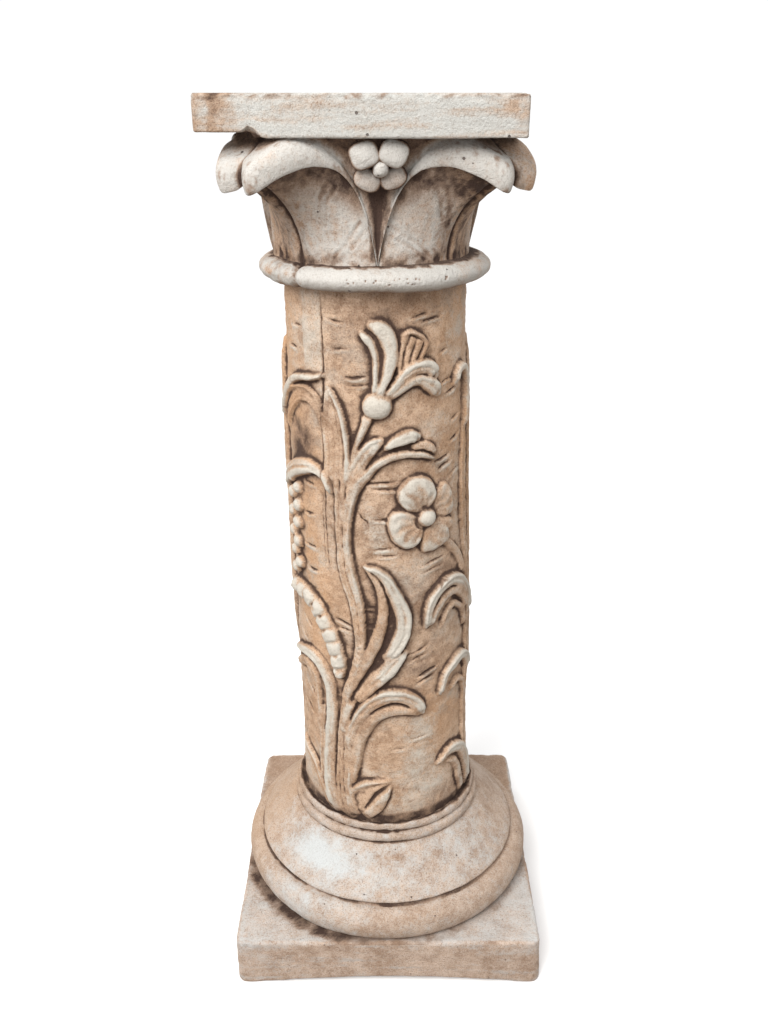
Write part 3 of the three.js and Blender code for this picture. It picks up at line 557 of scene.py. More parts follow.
# Short grooves cut across the ground like bark: round, height, length, slope in degrees
BARK = ((-30, 558, 14, 4), (-30, 553, 13, -6), (35, 556, 15, 12), (45, 553, 20, 10), (-27, 533, 16, 4),
    (-16, 514, 16, 3), (-14, 508, 18, 4), (57, 528, 10, 20), (60, 505, 14, 12), (66, 497, 16, 15),
    (55, 447, 16, 14), (57, 440, 14, 14), (70, 432, 16, 12), (3, 434, 22, 3), (6, 429, 20, 4),
    (2, 404, 14, 2), (3, 380, 17, 4), (6, 374, 16, 2), (45, 364, 22, 16), (44, 357, 20, 14),
    (-10, 331, 12, 0), (-10, 325, 12, -2), (-9, 313, 10, 0), (-31, 313, 13, -14), (-30, 307, 12, -12),
    (30, 288, 20, 16), (31, 281, 18, 14), (38, 266, 20, 16), (36, 259, 18, 16), (70, 460, 14, 14),
    (72, 475, 14, 10), (-70, 545, 14, 6), (-78, 528, 12, 4), (-60, 425, 12, -6), (-62, 400, 12, 4),
    (-63, 372, 14, -4), (-60, 352, 12, 4), (-70, 300, 14, -30), (-78, 285, 12, -28), (-70, 235, 12, -35),
    (-76, 215, 12, -30), (30, 205, 16, 10), (12, 196, 12, 4), )

# Small cracks: their line, and how deep
CRACKS = ((((-15.5, 409.5), (-13, 404.6), (-9.6, 402.8), (-8.8, 397)), 1.6), (((-3, 388), (-1, 384),
    (1, 382)), 0.9), (((46, 341), (50, 345.4), (56, 346)), 1.4), (((26.4, 404), (28.6, 397),
    (34, 394.4)), 1.8), (((27.6, 409), (32, 413.6), (38, 414.2)), 1.2))

# Places where the wash is warmer: round, height, reach round and up, amount
WARMTH = ((-95, 540, 32, 60, 0.9), (-80, 470, 25, 40, 0.55), (-66, 380, 18, 55, 1.0),
    (-72, 330, 16, 30, 0.7), (-58, 300, 14, 30, 0.7), (85, 560, 30, 40, 0.8), (95, 440, 22, 80, 0.5),
    (-70, 190, 30, 50, 0.45), (60, 225, 40, 30, 0.4), (-10, 320, 20, 30, 0.4))


def shaft_radius(z):
    """The plain shaft under the carving, which tapers evenly."""
    share = np.clip((z - TAPER_START) / TAPER_LENGTH, 0, 1)
    return SHAFT_FOOT_RADIUS + (SHAFT_NECK_RADIUS - SHAFT_FOOT_RADIUS) * share


class Field:
    """A sheet of places on the shaft, with its relief, cream, cuts and the cuts' raised lips so far."""

    def __init__(self, step):
        columns, rows = int(ROUND_SHAFT / step), int((SHAFT_HIGH - SHAFT_LOW) / step)
        self.step = step
        self.u, self.z = np.meshgrid(np.arange(columns) * ROUND_SHAFT / columns - ROUND_SHAFT / 2,
                                     np.linspace(SHAFT_LOW, SHAFT_HIGH, rows))
        self.relief, self.cream, self.cut, self.lift = (np.zeros_like(self.u) for _ in range(4))
        angle = self.u / CARVING_RADIUS
        self.place = np.stack([CARVING_RADIUS * np.sin(angle), -CARVING_RADIUS * np.cos(angle), self.z], -1)
        self.sway = [0.55 * fractal(self.place, 9, seed, 2) for seed in (46, 47)]

    def around(self, u, z, reach_u, reach_z):
        """A window on the sheet about a place: its indices, and the distances round and up from it."""
        row = np.nonzero(np.abs(self.z[:, 0] - z) <= reach_z)[0]
        away = (self.u[0] - u + ROUND_SHAFT / 2) % ROUND_SHAFT - ROUND_SHAFT / 2
        column = np.nonzero(np.abs(away) <= reach_u)[0]
        window = np.ix_(row, column)
        return window, away[column] + self.sway[0][window], self.z[window] - z + self.sway[1][window]

    def nearest(self, line, margin):
        """A window round a line: its nearest step, the signed distance across, and that past its end."""
        low, high = line[:, :2].min(0) - margin, line[:, :2].max(0) + margin
        middle, reach = (low + high) / 2, (high - low) / 2
        window, du, dz = self.around(middle[0], middle[1], reach[0], reach[1])
        du, dz = du[..., None] - (line[:, 0] - middle[0]), dz[..., None] - (line[:, 1] - middle[1])
        square = du ** 2 + dz ** 2
        near = square.argmin(-1)
        distance = np.sqrt(np.take_along_axis(square, near[..., None], -1)[..., 0])
        ahead = np.gradient(line[:, :2], axis=0)
        ahead /= np.linalg.norm(ahead, axis=1, keepdims=True)
        pick_u, pick_z = (np.take_along_axis(d, near[..., None], -1)[..., 0] for d in (du, dz))
        side = np.sign(pick_u * ahead[near, 1] - pick_z * ahead[near, 0])
        beyond = (pick_u * ahead[near, 0] + pick_z * ahead[near, 1]) * (near == len(line) - 1)
        return window, near, side * distance, beyond

    def raise_to(self, window, height, cream):
        """Keeps the higher of the old and the new relief, and the cream of the one that wins."""
        wins = height > self.relief[window]
        self.relief[window] = np.where(wins, height, self.relief[window])
        self.cream[window] = np.where(wins, cream, self.cream[window])

    def stroke(self, points, height, section, cream, shift=0.0, tall=1.0):
        """Relief = height * section at (distance across / half width), less at the ends, plus the grain."""
        line = along_line(points, LINE_STEP)
        line[:, 0] += shift
        line[:, 2] = np.maximum(line[:, 2], 0.5)
        window, near, across, beyond = self.nearest(line, line[:, 2].max() + 2)
        place = across / line[near, 2]
        share = np.interp(place, *np.array(section).T)
        if section in SQUARE_ENDED:
            share = share * smoothstep(1.2, 0.2, beyond)
        progress = near / (len(line) - 1)
        rise = 0 if section in SQUARE_ENDED else 0.5
        grow = np.clip(1 - rise + 3.2 * np.sin(math.pi * progress), 0, 1)
        grain = fractal(np.stack([near * 0.16, across + shift, 0 * across + points[0][1]], -1), 2.4, 49, 2)
        rough = share * (height * tall * grow + 0.42 * grain)
        left = share ** 1.5 + 0.34 * grain * share
        self.raise_to(window, rough * (share > 0), cream * (share > 0) * left)

    def lump(self, u, z, along, across, tilt, height, cream, shift=0.0):
        """Relief = (height + noise) * (1 - distance^2.6)^0.5 in an oval."""
        window, du, dz = self.around(u + shift, z, along + across, along + across)
        turn = math.radians(tilt)
        a = du * math.cos(turn) + dz * math.sin(turn)
        b = dz * math.cos(turn) - du * math.sin(turn)
        dome = np.clip(1 - np.hypot(a / along, b / across) ** 2.6, 0, None) ** 0.5
        rough = fractal(self.place[window], 3.6, 52, 2)
        self.raise_to(window, (height + 0.4 * rough) * dome, cream * dome ** 0.8 * (1 + 0.16 * rough))

    def petal(self, u, z, outline, height, cream):
        """Relief inside an outline of (direction, reach) about (u, z), rising from its rim."""
        way, reach = np.array(outline, float).T
        middle = way.mean()
        window, du, dz = self.around(u, z, PETAL_WINDOW, PETAL_WINDOW)
        angle = (np.degrees(np.arctan2(dz, du)) - middle + 180) % 360 - 180
        far = np.hypot(du, dz)
        outer = smooth_table(angle, way - middle, reach)
        turn = np.minimum(angle - way[0] + middle, way[-1] - middle - angle)
        side = far * np.sin(np.radians(np.clip(turn, -60, 60)))
        inside = np.clip(np.minimum(outer - far, side) / PETAL_EDGE, 0, 1)
        edge = np.sqrt(1 - (1 - inside) ** 2)
        crease = 0.07 * np.sin(np.radians(angle) * 17 + 1.2 * np.sin(far * 0.4)) * smoothstep(8, 14, far)
        cup = 0.6 + 0.4 * smoothstep(6, 24, far) - 0.12 * smoothstep(0.75, 0.97, far / outer)
        dome = edge * (cup + crease * (inside > 0.9))
        paleness = 0.84 + 1.5 * crease + 0.16 * smoothstep(8, 22, far)
        self.raise_to(window, height * dome, cream * edge ** 2 * paleness)

    def groove(self, points, depth, lip=0.0):
        """A cut whose depth is a bell curve across its line and less at its ends, and the lip beside it."""
        line = along_line(points, LINE_STEP)
        window, near, across, _ = self.nearest(line, 4)
        ends = np.sin(math.pi * np.clip(near / (len(line) - 1), 0.04, 0.96)) ** 0.4
        deep = depth * ends * np.exp(-(across / line[near, 2]) ** 2)
        self.cut[window] = np.maximum(self.cut[window], deep)
        self.lift[window] = np.maximum(self.lift[window], lip * ends * peak(across, 2.4, 1.3))


def beside(line, offset, half):
    """A line beside another, moved at right angles. Offset and half width scale with its breadth."""
    line = along_line(line, 8)
    ahead = np.gradient(line[:, :2], axis=0)
    ahead /= np.linalg.norm(ahead, axis=1, keepdims=True)
    breadth = line[:, 2:]
    moved = line[:, :2] + offset * breadth * np.stack([ahead[:, 1], -ahead[:, 0]], -1)
    return np.concatenate([moved, half * breadth], -1)


def carve(field, depth):
    """Puts the design on the sheet: all of it on the front, its main forms again, lower, on the back."""
    back = math.pi * CARVING_RADIUS
    for shift, tall in ((0.0, depth), (back, BACK_SHARE * depth)):
        for offset, half, height, cream in STRANDS:
            field.stroke(beside(STEM, offset, half), height, ROUND, cream, shift, tall)
        for height, section, cream, plain, line in STROKES:
            if plain or not shift:
                field.stroke(line, height, section, cream, shift, tall)
        for height, cream, outline in PETALS:
            field.petal(KNOB[0][0] + shift, KNOB[0][1], outline, height * depth, cream)
        for u, z, along, across, tilt, height, cream in KNOB + BUD + (() if shift else BERRIES):
            field.lump(u, z, along, across, tilt, height * depth, cream, shift)
    line = along_line(POD, LINE_STEP)
    window, near, across, _ = field.nearest(line, 10)
    rough = fractal(field.place[window], 4.5, 51, 3)
    scale = (near / (len(line) - 1) * SCALES_ON_POD + 0.16 * rough - 0.01 * across) % 1
    dome = np.clip(1 - np.abs(across / line[near, 2]) ** 2.4, 0, None) ** 0.5
    dome = dome * (0.62 + 0.38 * np.minimum(1, 5 * np.minimum(scale, 1.25 * (1 - scale))))
    field.raise_to(window, (7.2 * depth + 0.9 * rough) * dome, dome ** 0.5 * (0.9 + 0.35 * rough))


def score(field, seam):
    """Cuts the bark marks, the mould seam and the small cracks into the sheet."""
    rng = np.random.default_rng(7)
    spans = ((95, 350), (150, 560), (10, 18), (-8, 14))
    more = tuple(tuple(rng.uniform(*span) for span in spans) for _ in range(BACK_CUTS))
    for u, z, length, slope in BARK + more:
        tilt = math.radians(slope + rng.uniform(-4, 4))
        du, dz = 0.5 * length * math.cos(tilt), 0.5 * length * math.sin(tilt)
        bend, wide, deep = rng.uniform(-0.8, 1.2), rng.uniform(0.6, 1.15), rng.uniform(0.7, 1.4)
        field.groove(((u - du, z - dz, wide), (u, z + bend, 1.2 * wide), (u + du, z + dz, 0.7 * wide)),
                     1.15 * deep, 0.6 * deep)
    field.groove(((-42.5, 577, 0.8), (-42, 520, 0.8), (-43.5, 470, 0.8), (-44, 420, 0.8),
                  (-43.5, 350, 0.8)), seam)
    field.groove(((-45.6, 440, 0.7), (-46.5, 400, 0.7), (-46, 350, 0.6)), 0.7 * seam)
    for line, deep in CRACKS:
        field.groove([(u, z, 0.8) for u, z in line], deep)


def make_shaft(sizes, material):
    """The shaft: radius = even taper + relief + ground noise + lips - cuts. Hollows in it take soiling; its
    bottom in the foot's recess takes painted shade.
    """
    field = Field(sizes.grid_step * 1000 * (1))
    carve(field, sizes.carving)
    score(field, sizes.seam_depth * 1000)
    step, u, z, place = field.step, field.u, field.z, field.place
    angle = u / CARVING_RADIUS
    height = soften(field.relief, 0.55 / step, 0.55 / step)
    cream = soften(field.cream, 0.7 / step, 0.7 / step)
    raised = smoothstep(0.1, 0.9, soften(field.relief, 0.7 / step, 0.7 / step))
    slanting = np.stack([0.25 * place[..., 0], 0.25 * place[..., 1], z - 0.3 * place[..., 0]], -1)
    ripple = fractal(slanting, 5, 40, 3)
    ground = 0.5 * fractal(place, 45, 41, 2) + 0.42 * fractal(place * [1, 1, 1.9], 13, 42, 3)
    ground = ground + 0.3 * ripple * smoothstep(-0.5, 0.6, fractal(place, 40, 39, 2))
    strip = smoothstep(-63, -60, u) * smoothstep(-42, -43, u) * smoothstep(430, 500, z)
    skin = 0.2 * fractal(place, 3.4, 43, 2)
    total = height + (ground + 0.5 * strip) * np.clip(1 - field.relief / 6, 0.3, 1) + skin
    total = total + (field.lift - field.cut) * (1 - 0.7 * raised)
    radius = shaft_radius(z) + total
    points = np.stack([radius * np.sin(angle), -radius * np.cos(angle), z], -1)
    smooth = soften(total, 0.6 / step, 0.6 / step)
    narrow = soften(total, 1.9 / step, 1.9 / step) - smooth
    wide = soften(total, 4.5 / step, 4.5 / step) - smooth
    blotch = fractal(place, 34, 44, 3)
    mottle = fractal(place, 9, 50, 3)
    warm = 0.28 + 0.3 * fractal(place, 50, 45, 2)
    stain = np.zeros_like(u)
    for layer, spots in ((warm, WARMTH), (stain, STAINS)):
        for wu, wz, ru, rz, amount in spots:
            away = (u - wu + ROUND_SHAFT / 2) % ROUND_SHAFT - ROUND_SHAFT / 2
            layer += amount * np.exp(-(away / ru) ** 2 - ((z - wz) / rz) ** 2)
    # Crests of the ground and relief are lighter: rubbed-off wash and also painted highlight.
    crest_wear_and_highlight = smoothstep(-0.1, -1.6, wide)
    open_ground = 0.26 + 0.2 * blotch + 0.18 * mottle + 0.3 * crest_wear_and_highlight + 0.22 * strip
    open_ground = open_ground + 0.12 * smoothstep(250, 170, z) + 0.42 * field.lift - 0.5 * stain
    rub_and_light = open_ground + (cream * (0.5 + 0.6 * crest_wear_and_highlight) + 0.12 * mottle - open_ground) * raised
    patchy = 0.85 + 0.5 * fractal(place, 18, 48, 2)
    dark_top = smoothstep(540, 577, z)
    sharp = narrow * (1 + raised * (0.9 - 1.2 * cream))
    grime_and_shade = smoothstep(0.1, 1.05, sharp) * patchy + 0.42 * smoothstep(0.1, 2.0, wide) * (0.8 + 0.6 * blotch)
    grime_and_shade = grime_and_shade + (stain * (1 + 0.4 * mottle) + 0.08 * blotch + 0.12 * mottle) * (1 - 0.6 * raised)
    # The bands below z 140 here and two lines down are painted shade where the shaft's bottom stands in the
    # foot's recess.
    grime_and_shade = grime_and_shade + 0.22 * dark_top * (0.8 + 0.6 * blotch) + 0.2 * smoothstep(140, 130, z)
    grime_and_shade = grime_and_shade + 0.6 * smoothstep(0.3, 1.2, field.cut)
    grime_and_shade = grime_and_shade + (0.62 + 0.3 * mottle) * smoothstep(131.5, 127.5, z + 1.6 * mottle) * (1 - 0.5 * raised)
    return add_piece("column_shaft", [(points, rub_and_light, grime_and_shade, warm)], material, SHAFT_TRIANGLES)


# The capital

# Over half a face, from its centre to the corner: degrees, rim height, rim radius, lip height
LEAF_RIM = ((0, 592, 72, 0.5), (3, 612, 76, 1), (8, 634, 80, 2.5), (15, 651, 88.5, 5.5),
    (24, 657, 103, 11), (33, 650, 119, 16.5), (39, 641, 128.5, 18), (45, 644, 120.5, 16))


def bell_radius(z):
    """The plain bell behind the leaves, which flares towards the slab."""
    return BELL_RADIUS + BELL_FLARE * np.clip((z - BELL_START) / BELL_HEIGHT, 0, 1) ** 2.6


# Veins on the leaves' blades: degrees from the face's centre, and height
VEINS = (((-17.3, 604.3), (-13.3, 612.6), (-9, 620.9)), ((-13.5, 603.6), (-9.1, 611.4), (-4.5, 616.8)),
    ((-23.4, 597.7), (-17.2, 605.9)), ((-29.1, 618.8), (-26.3, 637.2), (-21.2, 646.9)), ((-27.2, 617.5),
    (-25.1, 632.2), (-19.1, 644)), ((10.7, 609.2), (19, 603.4), (27.2, 594.7)), ((13.1, 612.3),
    (22.4, 606.5), (31.1, 596.3)), ((6.6, 619.1), (14.7, 612.3)), ((22.3, 648.2), (27.3, 641.6),
    (33.8, 621.2)), ((24, 650), (29.8, 641.6), (36.1, 624.5)))


def line_distance(degrees, z, line):
    """The distance in mm from each place on the blade to a line of (degrees, height) points."""
    best = np.full_like(z, 99.0)
    for (a0, z0), (a1, z1) in zip(line[:-1], line[1:]):
        x, run = (degrees - a0) * 1.4, (a1 - a0) * 1.4
        t = np.clip((x * run + (z - z0) * (z1 - z0)) / (run ** 2 + (z1 - z0) ** 2), 0, 1)
        best = np.minimum(best, np.hypot(x - t * run, z - z0 - t * (z1 - z0)))
    return best


def make_leaves(sizes, material):
    """Upright profiles: up the blade, round the lip and back along the bell, for every step round."""
    columns = 560
    degrees = np.arange(columns) * 360 / columns
    offset = 45 - np.abs((degrees % 90) - 45)
    table = np.array(LEAF_RIM)
    rim_z, rim_r, lip = (smooth_table(offset, table[:, 0], table[:, k]) for k in (1, 2, 3))
    flat = 0 * rim_z
    under = rim_z + np.maximum(0, rim_r - 100) * 0.42
    rows = [(NECK_RADIUS - 14 + flat, LEAF_FOOT - 1 + flat), (NECK_RADIUS - 1.5 + flat, LEAF_FOOT + flat)]
    for t in (0.15, 0.3, 0.45, 0.6, 0.75, 0.85, 0.93, 0.98):
        rows.append((NECK_RADIUS - 1 + (rim_r - NECK_RADIUS - 3) * t ** 2.6,
                     LEAF_FOOT + (under - LEAF_FOOT) * t))
    rows.append((rim_r, rim_z))
    rows.append((rim_r + 0.18 * lip, rim_z + 0.5 * lip))
    rows.append((rim_r + 0.02 * lip, rim_z + 1.0 * lip))
    top = rim_z + 1.35 * lip
    over = rim_r - 0.45 * lip
    rows.append((over, top))
    middle = (top + BELL_TOP) / 2
    rows.append((np.maximum(bell_radius(middle), (over + bell_radius(top + 2)) / 2 + 0.24 * lip), middle))
    rows.append((bell_radius(BELL_TOP) + 0.3 * lip, BELL_TOP + flat))
    rows.append((bell_radius(BELL_TOP) - 20 + flat, BELL_TOP + 0.5 + flat))
    rows = np.array(rows)
    share = np.linspace(0, len(rows) - 1, 168)
    radius, z = (smooth_table(share, np.arange(len(rows)), rows[:, k]) for k in (0, 1))
    angle = np.radians(degrees)
    grid = np.stack([radius * np.sin(angle), -radius * np.cos(angle), z], -1)
    normal = normals_of(grid)
    blade = smoothstep(10.2, 9.0, share)[:, None] * smoothstep(0.5, 2, share)[:, None]
    signed = (degrees + 45) % 90 - 45
    vein, rib = np.zeros_like(z), np.zeros_like(z)
    for line in VEINS:
        away = line_distance(signed + 0 * z, z, line)
        vein = np.maximum(vein, peak(away, 0.4, 1.0))
        rib = np.maximum(rib, peak(away, 2.4, 1.1))
    midrib = peak(offset, 45, 1.3) * smoothstep(12, 10, share)[:, None]
    rough = 0.5 * fractal(grid, 30, 51, 2) + 0.2 * fractal(grid, 6, 52, 3)
    # low is painted shade on the blades just above the ring, with soiling; it also roughens them.
    low = smoothstep(606, 592, z) * blade
    rough = rough + 0.5 * low * fractal(grid, 5, 53, 2)
    points = grid + normal * (rough + (0.26 * rib - 0.4 * vein) * blade - 1.8 * midrib)[..., None]
    hollow = hollow_of(points, 3.0, 2.5)
    blotch = fractal(grid, 22, 54, 4)
    drip = fractal(grid * [1, 1, 0.3], 3.5, 56, 4)
    azimuth = np.abs((degrees + CAPITAL_TURN + 180) % 360 - 180)
    side = smoothstep(46, 52, azimuth)
    flank = smoothstep(30, 42, azimuth) * smoothstep(78, 60, azimuth) * blade
    lips = smoothstep(8.6, 10.2, share)[:, None] * smoothstep(14.2, 12.6, share)[:, None]
    rub_and_light = 0.4 + 0.14 * blotch * blade + 0.16 * drip + 0.46 * lips * (0.9 + 0.5 * blotch) + 0.2 * blade
    rub_and_light = rub_and_light + 0.12 * rib * blade - (0.22 + 0.2 * lips) * side + (0.4 * drip - 0.12) * flank
    # high is painted shade on the upper blade under the curled lip.
    high = blade * smoothstep(4.2, 7.8, share)[:, None] * smoothstep(5, 12, offset)
    # behind is painted shade on the tops behind the lips, under the slab.
    behind = smoothstep(12.6, 14.2, share)[:, None]
    grime_and_shade = smoothstep(0.15, 1.2, hollow) * 0.75 + high * (0.72 + 0.3 * blotch + 0.3 * drip)
    grime_and_shade = grime_and_shade + 0.12 * vein * blade
    grime_and_shade = grime_and_shade + 0.6 * low * (0.8 + 0.8 * fractal(grid, 8, 55, 3)) + 0.5 * midrib + 0.7 * behind
    grime_and_shade = grime_and_shade + (0.55 + 0.4 * drip) * smoothstep(6, 2.5, offset) * smoothstep(592, 602, z) * (1 - lips)
    grime_and_shade = grime_and_shade + flank * np.clip(0.2 + 0.6 * drip, 0, 1)
    grime_and_shade = grime_and_shade + 0.5 * lips * np.clip(drip + blotch - 0.1, 0, 1)
    warm = 0.3 + 0.25 * blotch + 0.5 * side
    points = turned(points, CAPITAL_TURN, CAPITAL_SHIFT)
    return add_piece("column_leaves", [(points, rub_and_light, grime_and_shade, warm)], material)


# The capital's flowers: to the right, height, half sizes to the right, out and up, tilt
FLOWER = ((-9.6, 664, 9.6, 6.5, 9.0, 20), (9.2, 665, 9.8, 6.5, 8.8, -20),
    (-7.4, 648.6, 9.4, 4.8, 7.0, -25), (9.8, 649.6, 9.2, 4.8, 7.0, 25), (0.8, 655.6, 5.4, 9.5, 5.6, 0))


def make_flowers(sizes, material):
    """Four petals and a bud on each face: balls squared off by a power, stretched, and worn by noise."""
    shells = []
    up = np.linspace(-math.pi / 2, math.pi / 2, 30)[1:-1, None]
    round_ = np.linspace(0, TURN_ROUND, 44, endpoint=False)[None, :]
    ball = np.stack([np.cos(up) * np.sin(round_), -np.cos(up) * np.cos(round_),
                     np.sin(up) + 0 * round_], -1)
    for face in range(4):
        for number, (across, z, wide, out, tall, tilt) in enumerate(FLOWER):
            seed = 60 + 5 * face + number
            reach = 1 + 0.07 * fractal(ball, 0.9, seed, 2)
            shape = np.sign(ball) * np.abs(ball) ** 0.78 * reach[..., None] * [wide, out, tall]
            turn = math.radians(tilt)
            x = shape[..., 0] * math.cos(turn) - shape[..., 2] * math.sin(turn)
            h = shape[..., 0] * math.sin(turn) + shape[..., 2] * math.cos(turn)
            points = np.stack([x + across, shape[..., 1] - bell_radius(z) - 4, h + z], -1)
            front = smoothstep(0.1, 0.7, -ball[..., 1])
            rub_and_light = (0.85 if number in (0, 1, 4) else 0.6) * front + 0.2 * fractal(points, 7, seed, 3)
            grime_and_shade = 0.95 * (1 - front) + (0 if number in (0, 1, 4) else 0.22)
            shells.append((turned(points, face * 90 + CAPITAL_TURN, CAPITAL_SHIFT), rub_and_light, grime_and_shade, 0.2))
    return add_piece("column_flowers", shells, material)


def make_slab(sizes, material):
    """The square slab on top: thinner beyond the mould seam, with a chipped lower arris there."""
    side, top = sizes.slab_side * 1000, SLAB_BASE + SLAB_THICK
    grid = slab_grid(side, SLAB_BASE, SLAB_THICK, SLAB_CORNER, SLAB_BEVEL, 112, 30, 36)
    x, y, z = np.moveaxis(grid, -1, 0)
    half = side / 2
    edge = half - np.maximum(np.abs(x), np.abs(y))
    low = np.clip(1 - (z - SLAB_BASE) / 12, 0, 1)
    thin = 3.4 * smoothstep(SEAM_X + 0.6, SEAM_X - 0.8, x) * low
    chip = 5.5 * np.exp(-(((x - SEAM_X - 1) / 4.0) ** 2 + ((y + half) / 5.5) ** 2)) * low
    points = np.stack([x, y, z + thin + chip], -1)
    normal = normals_of(points)
    arris = smoothstep(4.5, 1.0, edge) * smoothstep(top - 6, top - 1, z)
    face = smoothstep(3.0, 0.8, edge)
    rake = np.sin(0.95 * x + 0.25 * z) * peak(x, -45, 18) * (y < 0)
    rough = 0.55 * fractal(grid, 50, 71, 2) + 0.16 * fractal(grid, 7, 72, 3) + 0.12 * rake * face
    rough = rough - arris * (0.5 + 0.9 * fractal(grid, 4, 73, 2))
    rough = rough - 0.5 * np.exp(-((x - SEAM_X - 1) / 1.2) ** 2) * face * (y < 0)
    points = points + normal * rough[..., None]
    points[..., 2] = np.minimum(points[..., 2], top)
    blotch = fractal(grid, 30, 74, 3)
    brushed = fractal(grid * [0.16, 0.16, 1.6], 5, 76, 4)
    ends = peak(x, -94, 14) + 0.75 * np.exp(-((x - 96) / 8) ** 2 - ((z - 690) / 8) ** 2)
    ends = ends * (0.75 + 0.7 * fractal(grid * [1, 1, 0.4], 7, 77, 3))
    # under is painted shade on the slab's underside, over the capital.
    under = smoothstep(SLAB_BASE + 2.5, SLAB_BASE + 0.5, z) * smoothstep(1.5, 4, edge)
    rub_and_light = 0.68 + 0.1 * blotch + 0.26 * brushed - 0.75 * ends
    grime_and_shade = 0.5 * ends + 0.14 * np.clip(brushed, 0, 1) + 0.75 * under
    grime_and_shade = grime_and_shade + 0.35 * arris * (0.5 + 1.2 * fractal(grid, 4, 75, 3))
    warm = 0.12 + 0.3 * ends
    points = turned(points, SLAB_TURN, SLAB_SHIFT)
    return add_piece("column_slab", [(points, rub_and_light, grime_and_shade, warm)], material)


# Materials

def wire(tree, kind, settings=None, **inputs):
    """Adds a node, sets its properties, and gives each named input a value or a link."""
    node = tree.nodes.new(kind)
    for label, value in (settings or {}).items():
        setattr(node, label, value)
    for label, value in inputs.items():
        key = int(label[1:]) if label[0] == "_" else label.replace("_", " ")
        socket = node.inputs[key]
        if isinstance(value, bpy.types.NodeSocket):
            tree.links.new(value, socket)
        else:
            socket.default_value = value
    return node


def maths(tree, operation, *values, clamp=False):
    """A Math node on two or three values or sockets."""
    inputs = {f"_{k}": value for k, value in enumerate(values)}
    return wire(tree, "ShaderNodeMath", {"operation": operation, "use_clamp": clamp}, **inputs).outputs[0]


def ranged(tree, value, low, high, to_low=0.0, to_high=1.0):
    """A value carried along an s-curve from one range to another."""
    inputs = {f"_{k}": part for k, part in enumerate((value, low, high, to_low, to_high))}
    return wire(tree, "ShaderNodeMapRange", {"interpolation_type": "SMOOTHSTEP"}, **inputs).outputs[0]


def blended(tree, share, first, second, kind="MIX"):
    """Two colours mixed by a share."""
    settings = {"data_type": "RGBA", "blend_type": kind}
    return wire(tree, "ShaderNodeMix", settings, _0=share, _6=first, _7=second).outputs[2]


def noise(tree, place, scale, detail=4.0, rough=0.55, warp=0.0):
    """A noise texture's value."""
    return wire(tree, "ShaderNodeTexNoise", Vector=place, Scale=scale, Detail=detail, Roughness=rough,
                Distortion=warp).outputs[0]


def new_group(name, inputs, outputs):
    """A shader node group with its named sockets."""
    tree = bpy.data.node_groups.new(name, "ShaderNodeTree")
    for label, kind, default in inputs:
        socket = tree.interface.new_socket(label, in_out="INPUT", socket_type=kind)
        if default is not None:
            socket.default_value = default
    for label, kind in outputs:
        tree.interface.new_socket(label, in_out="OUTPUT", socket_type=kind)
    return tree, tree.nodes.new("NodeGroupInput"), tree.nodes.new("NodeGroupOutput")


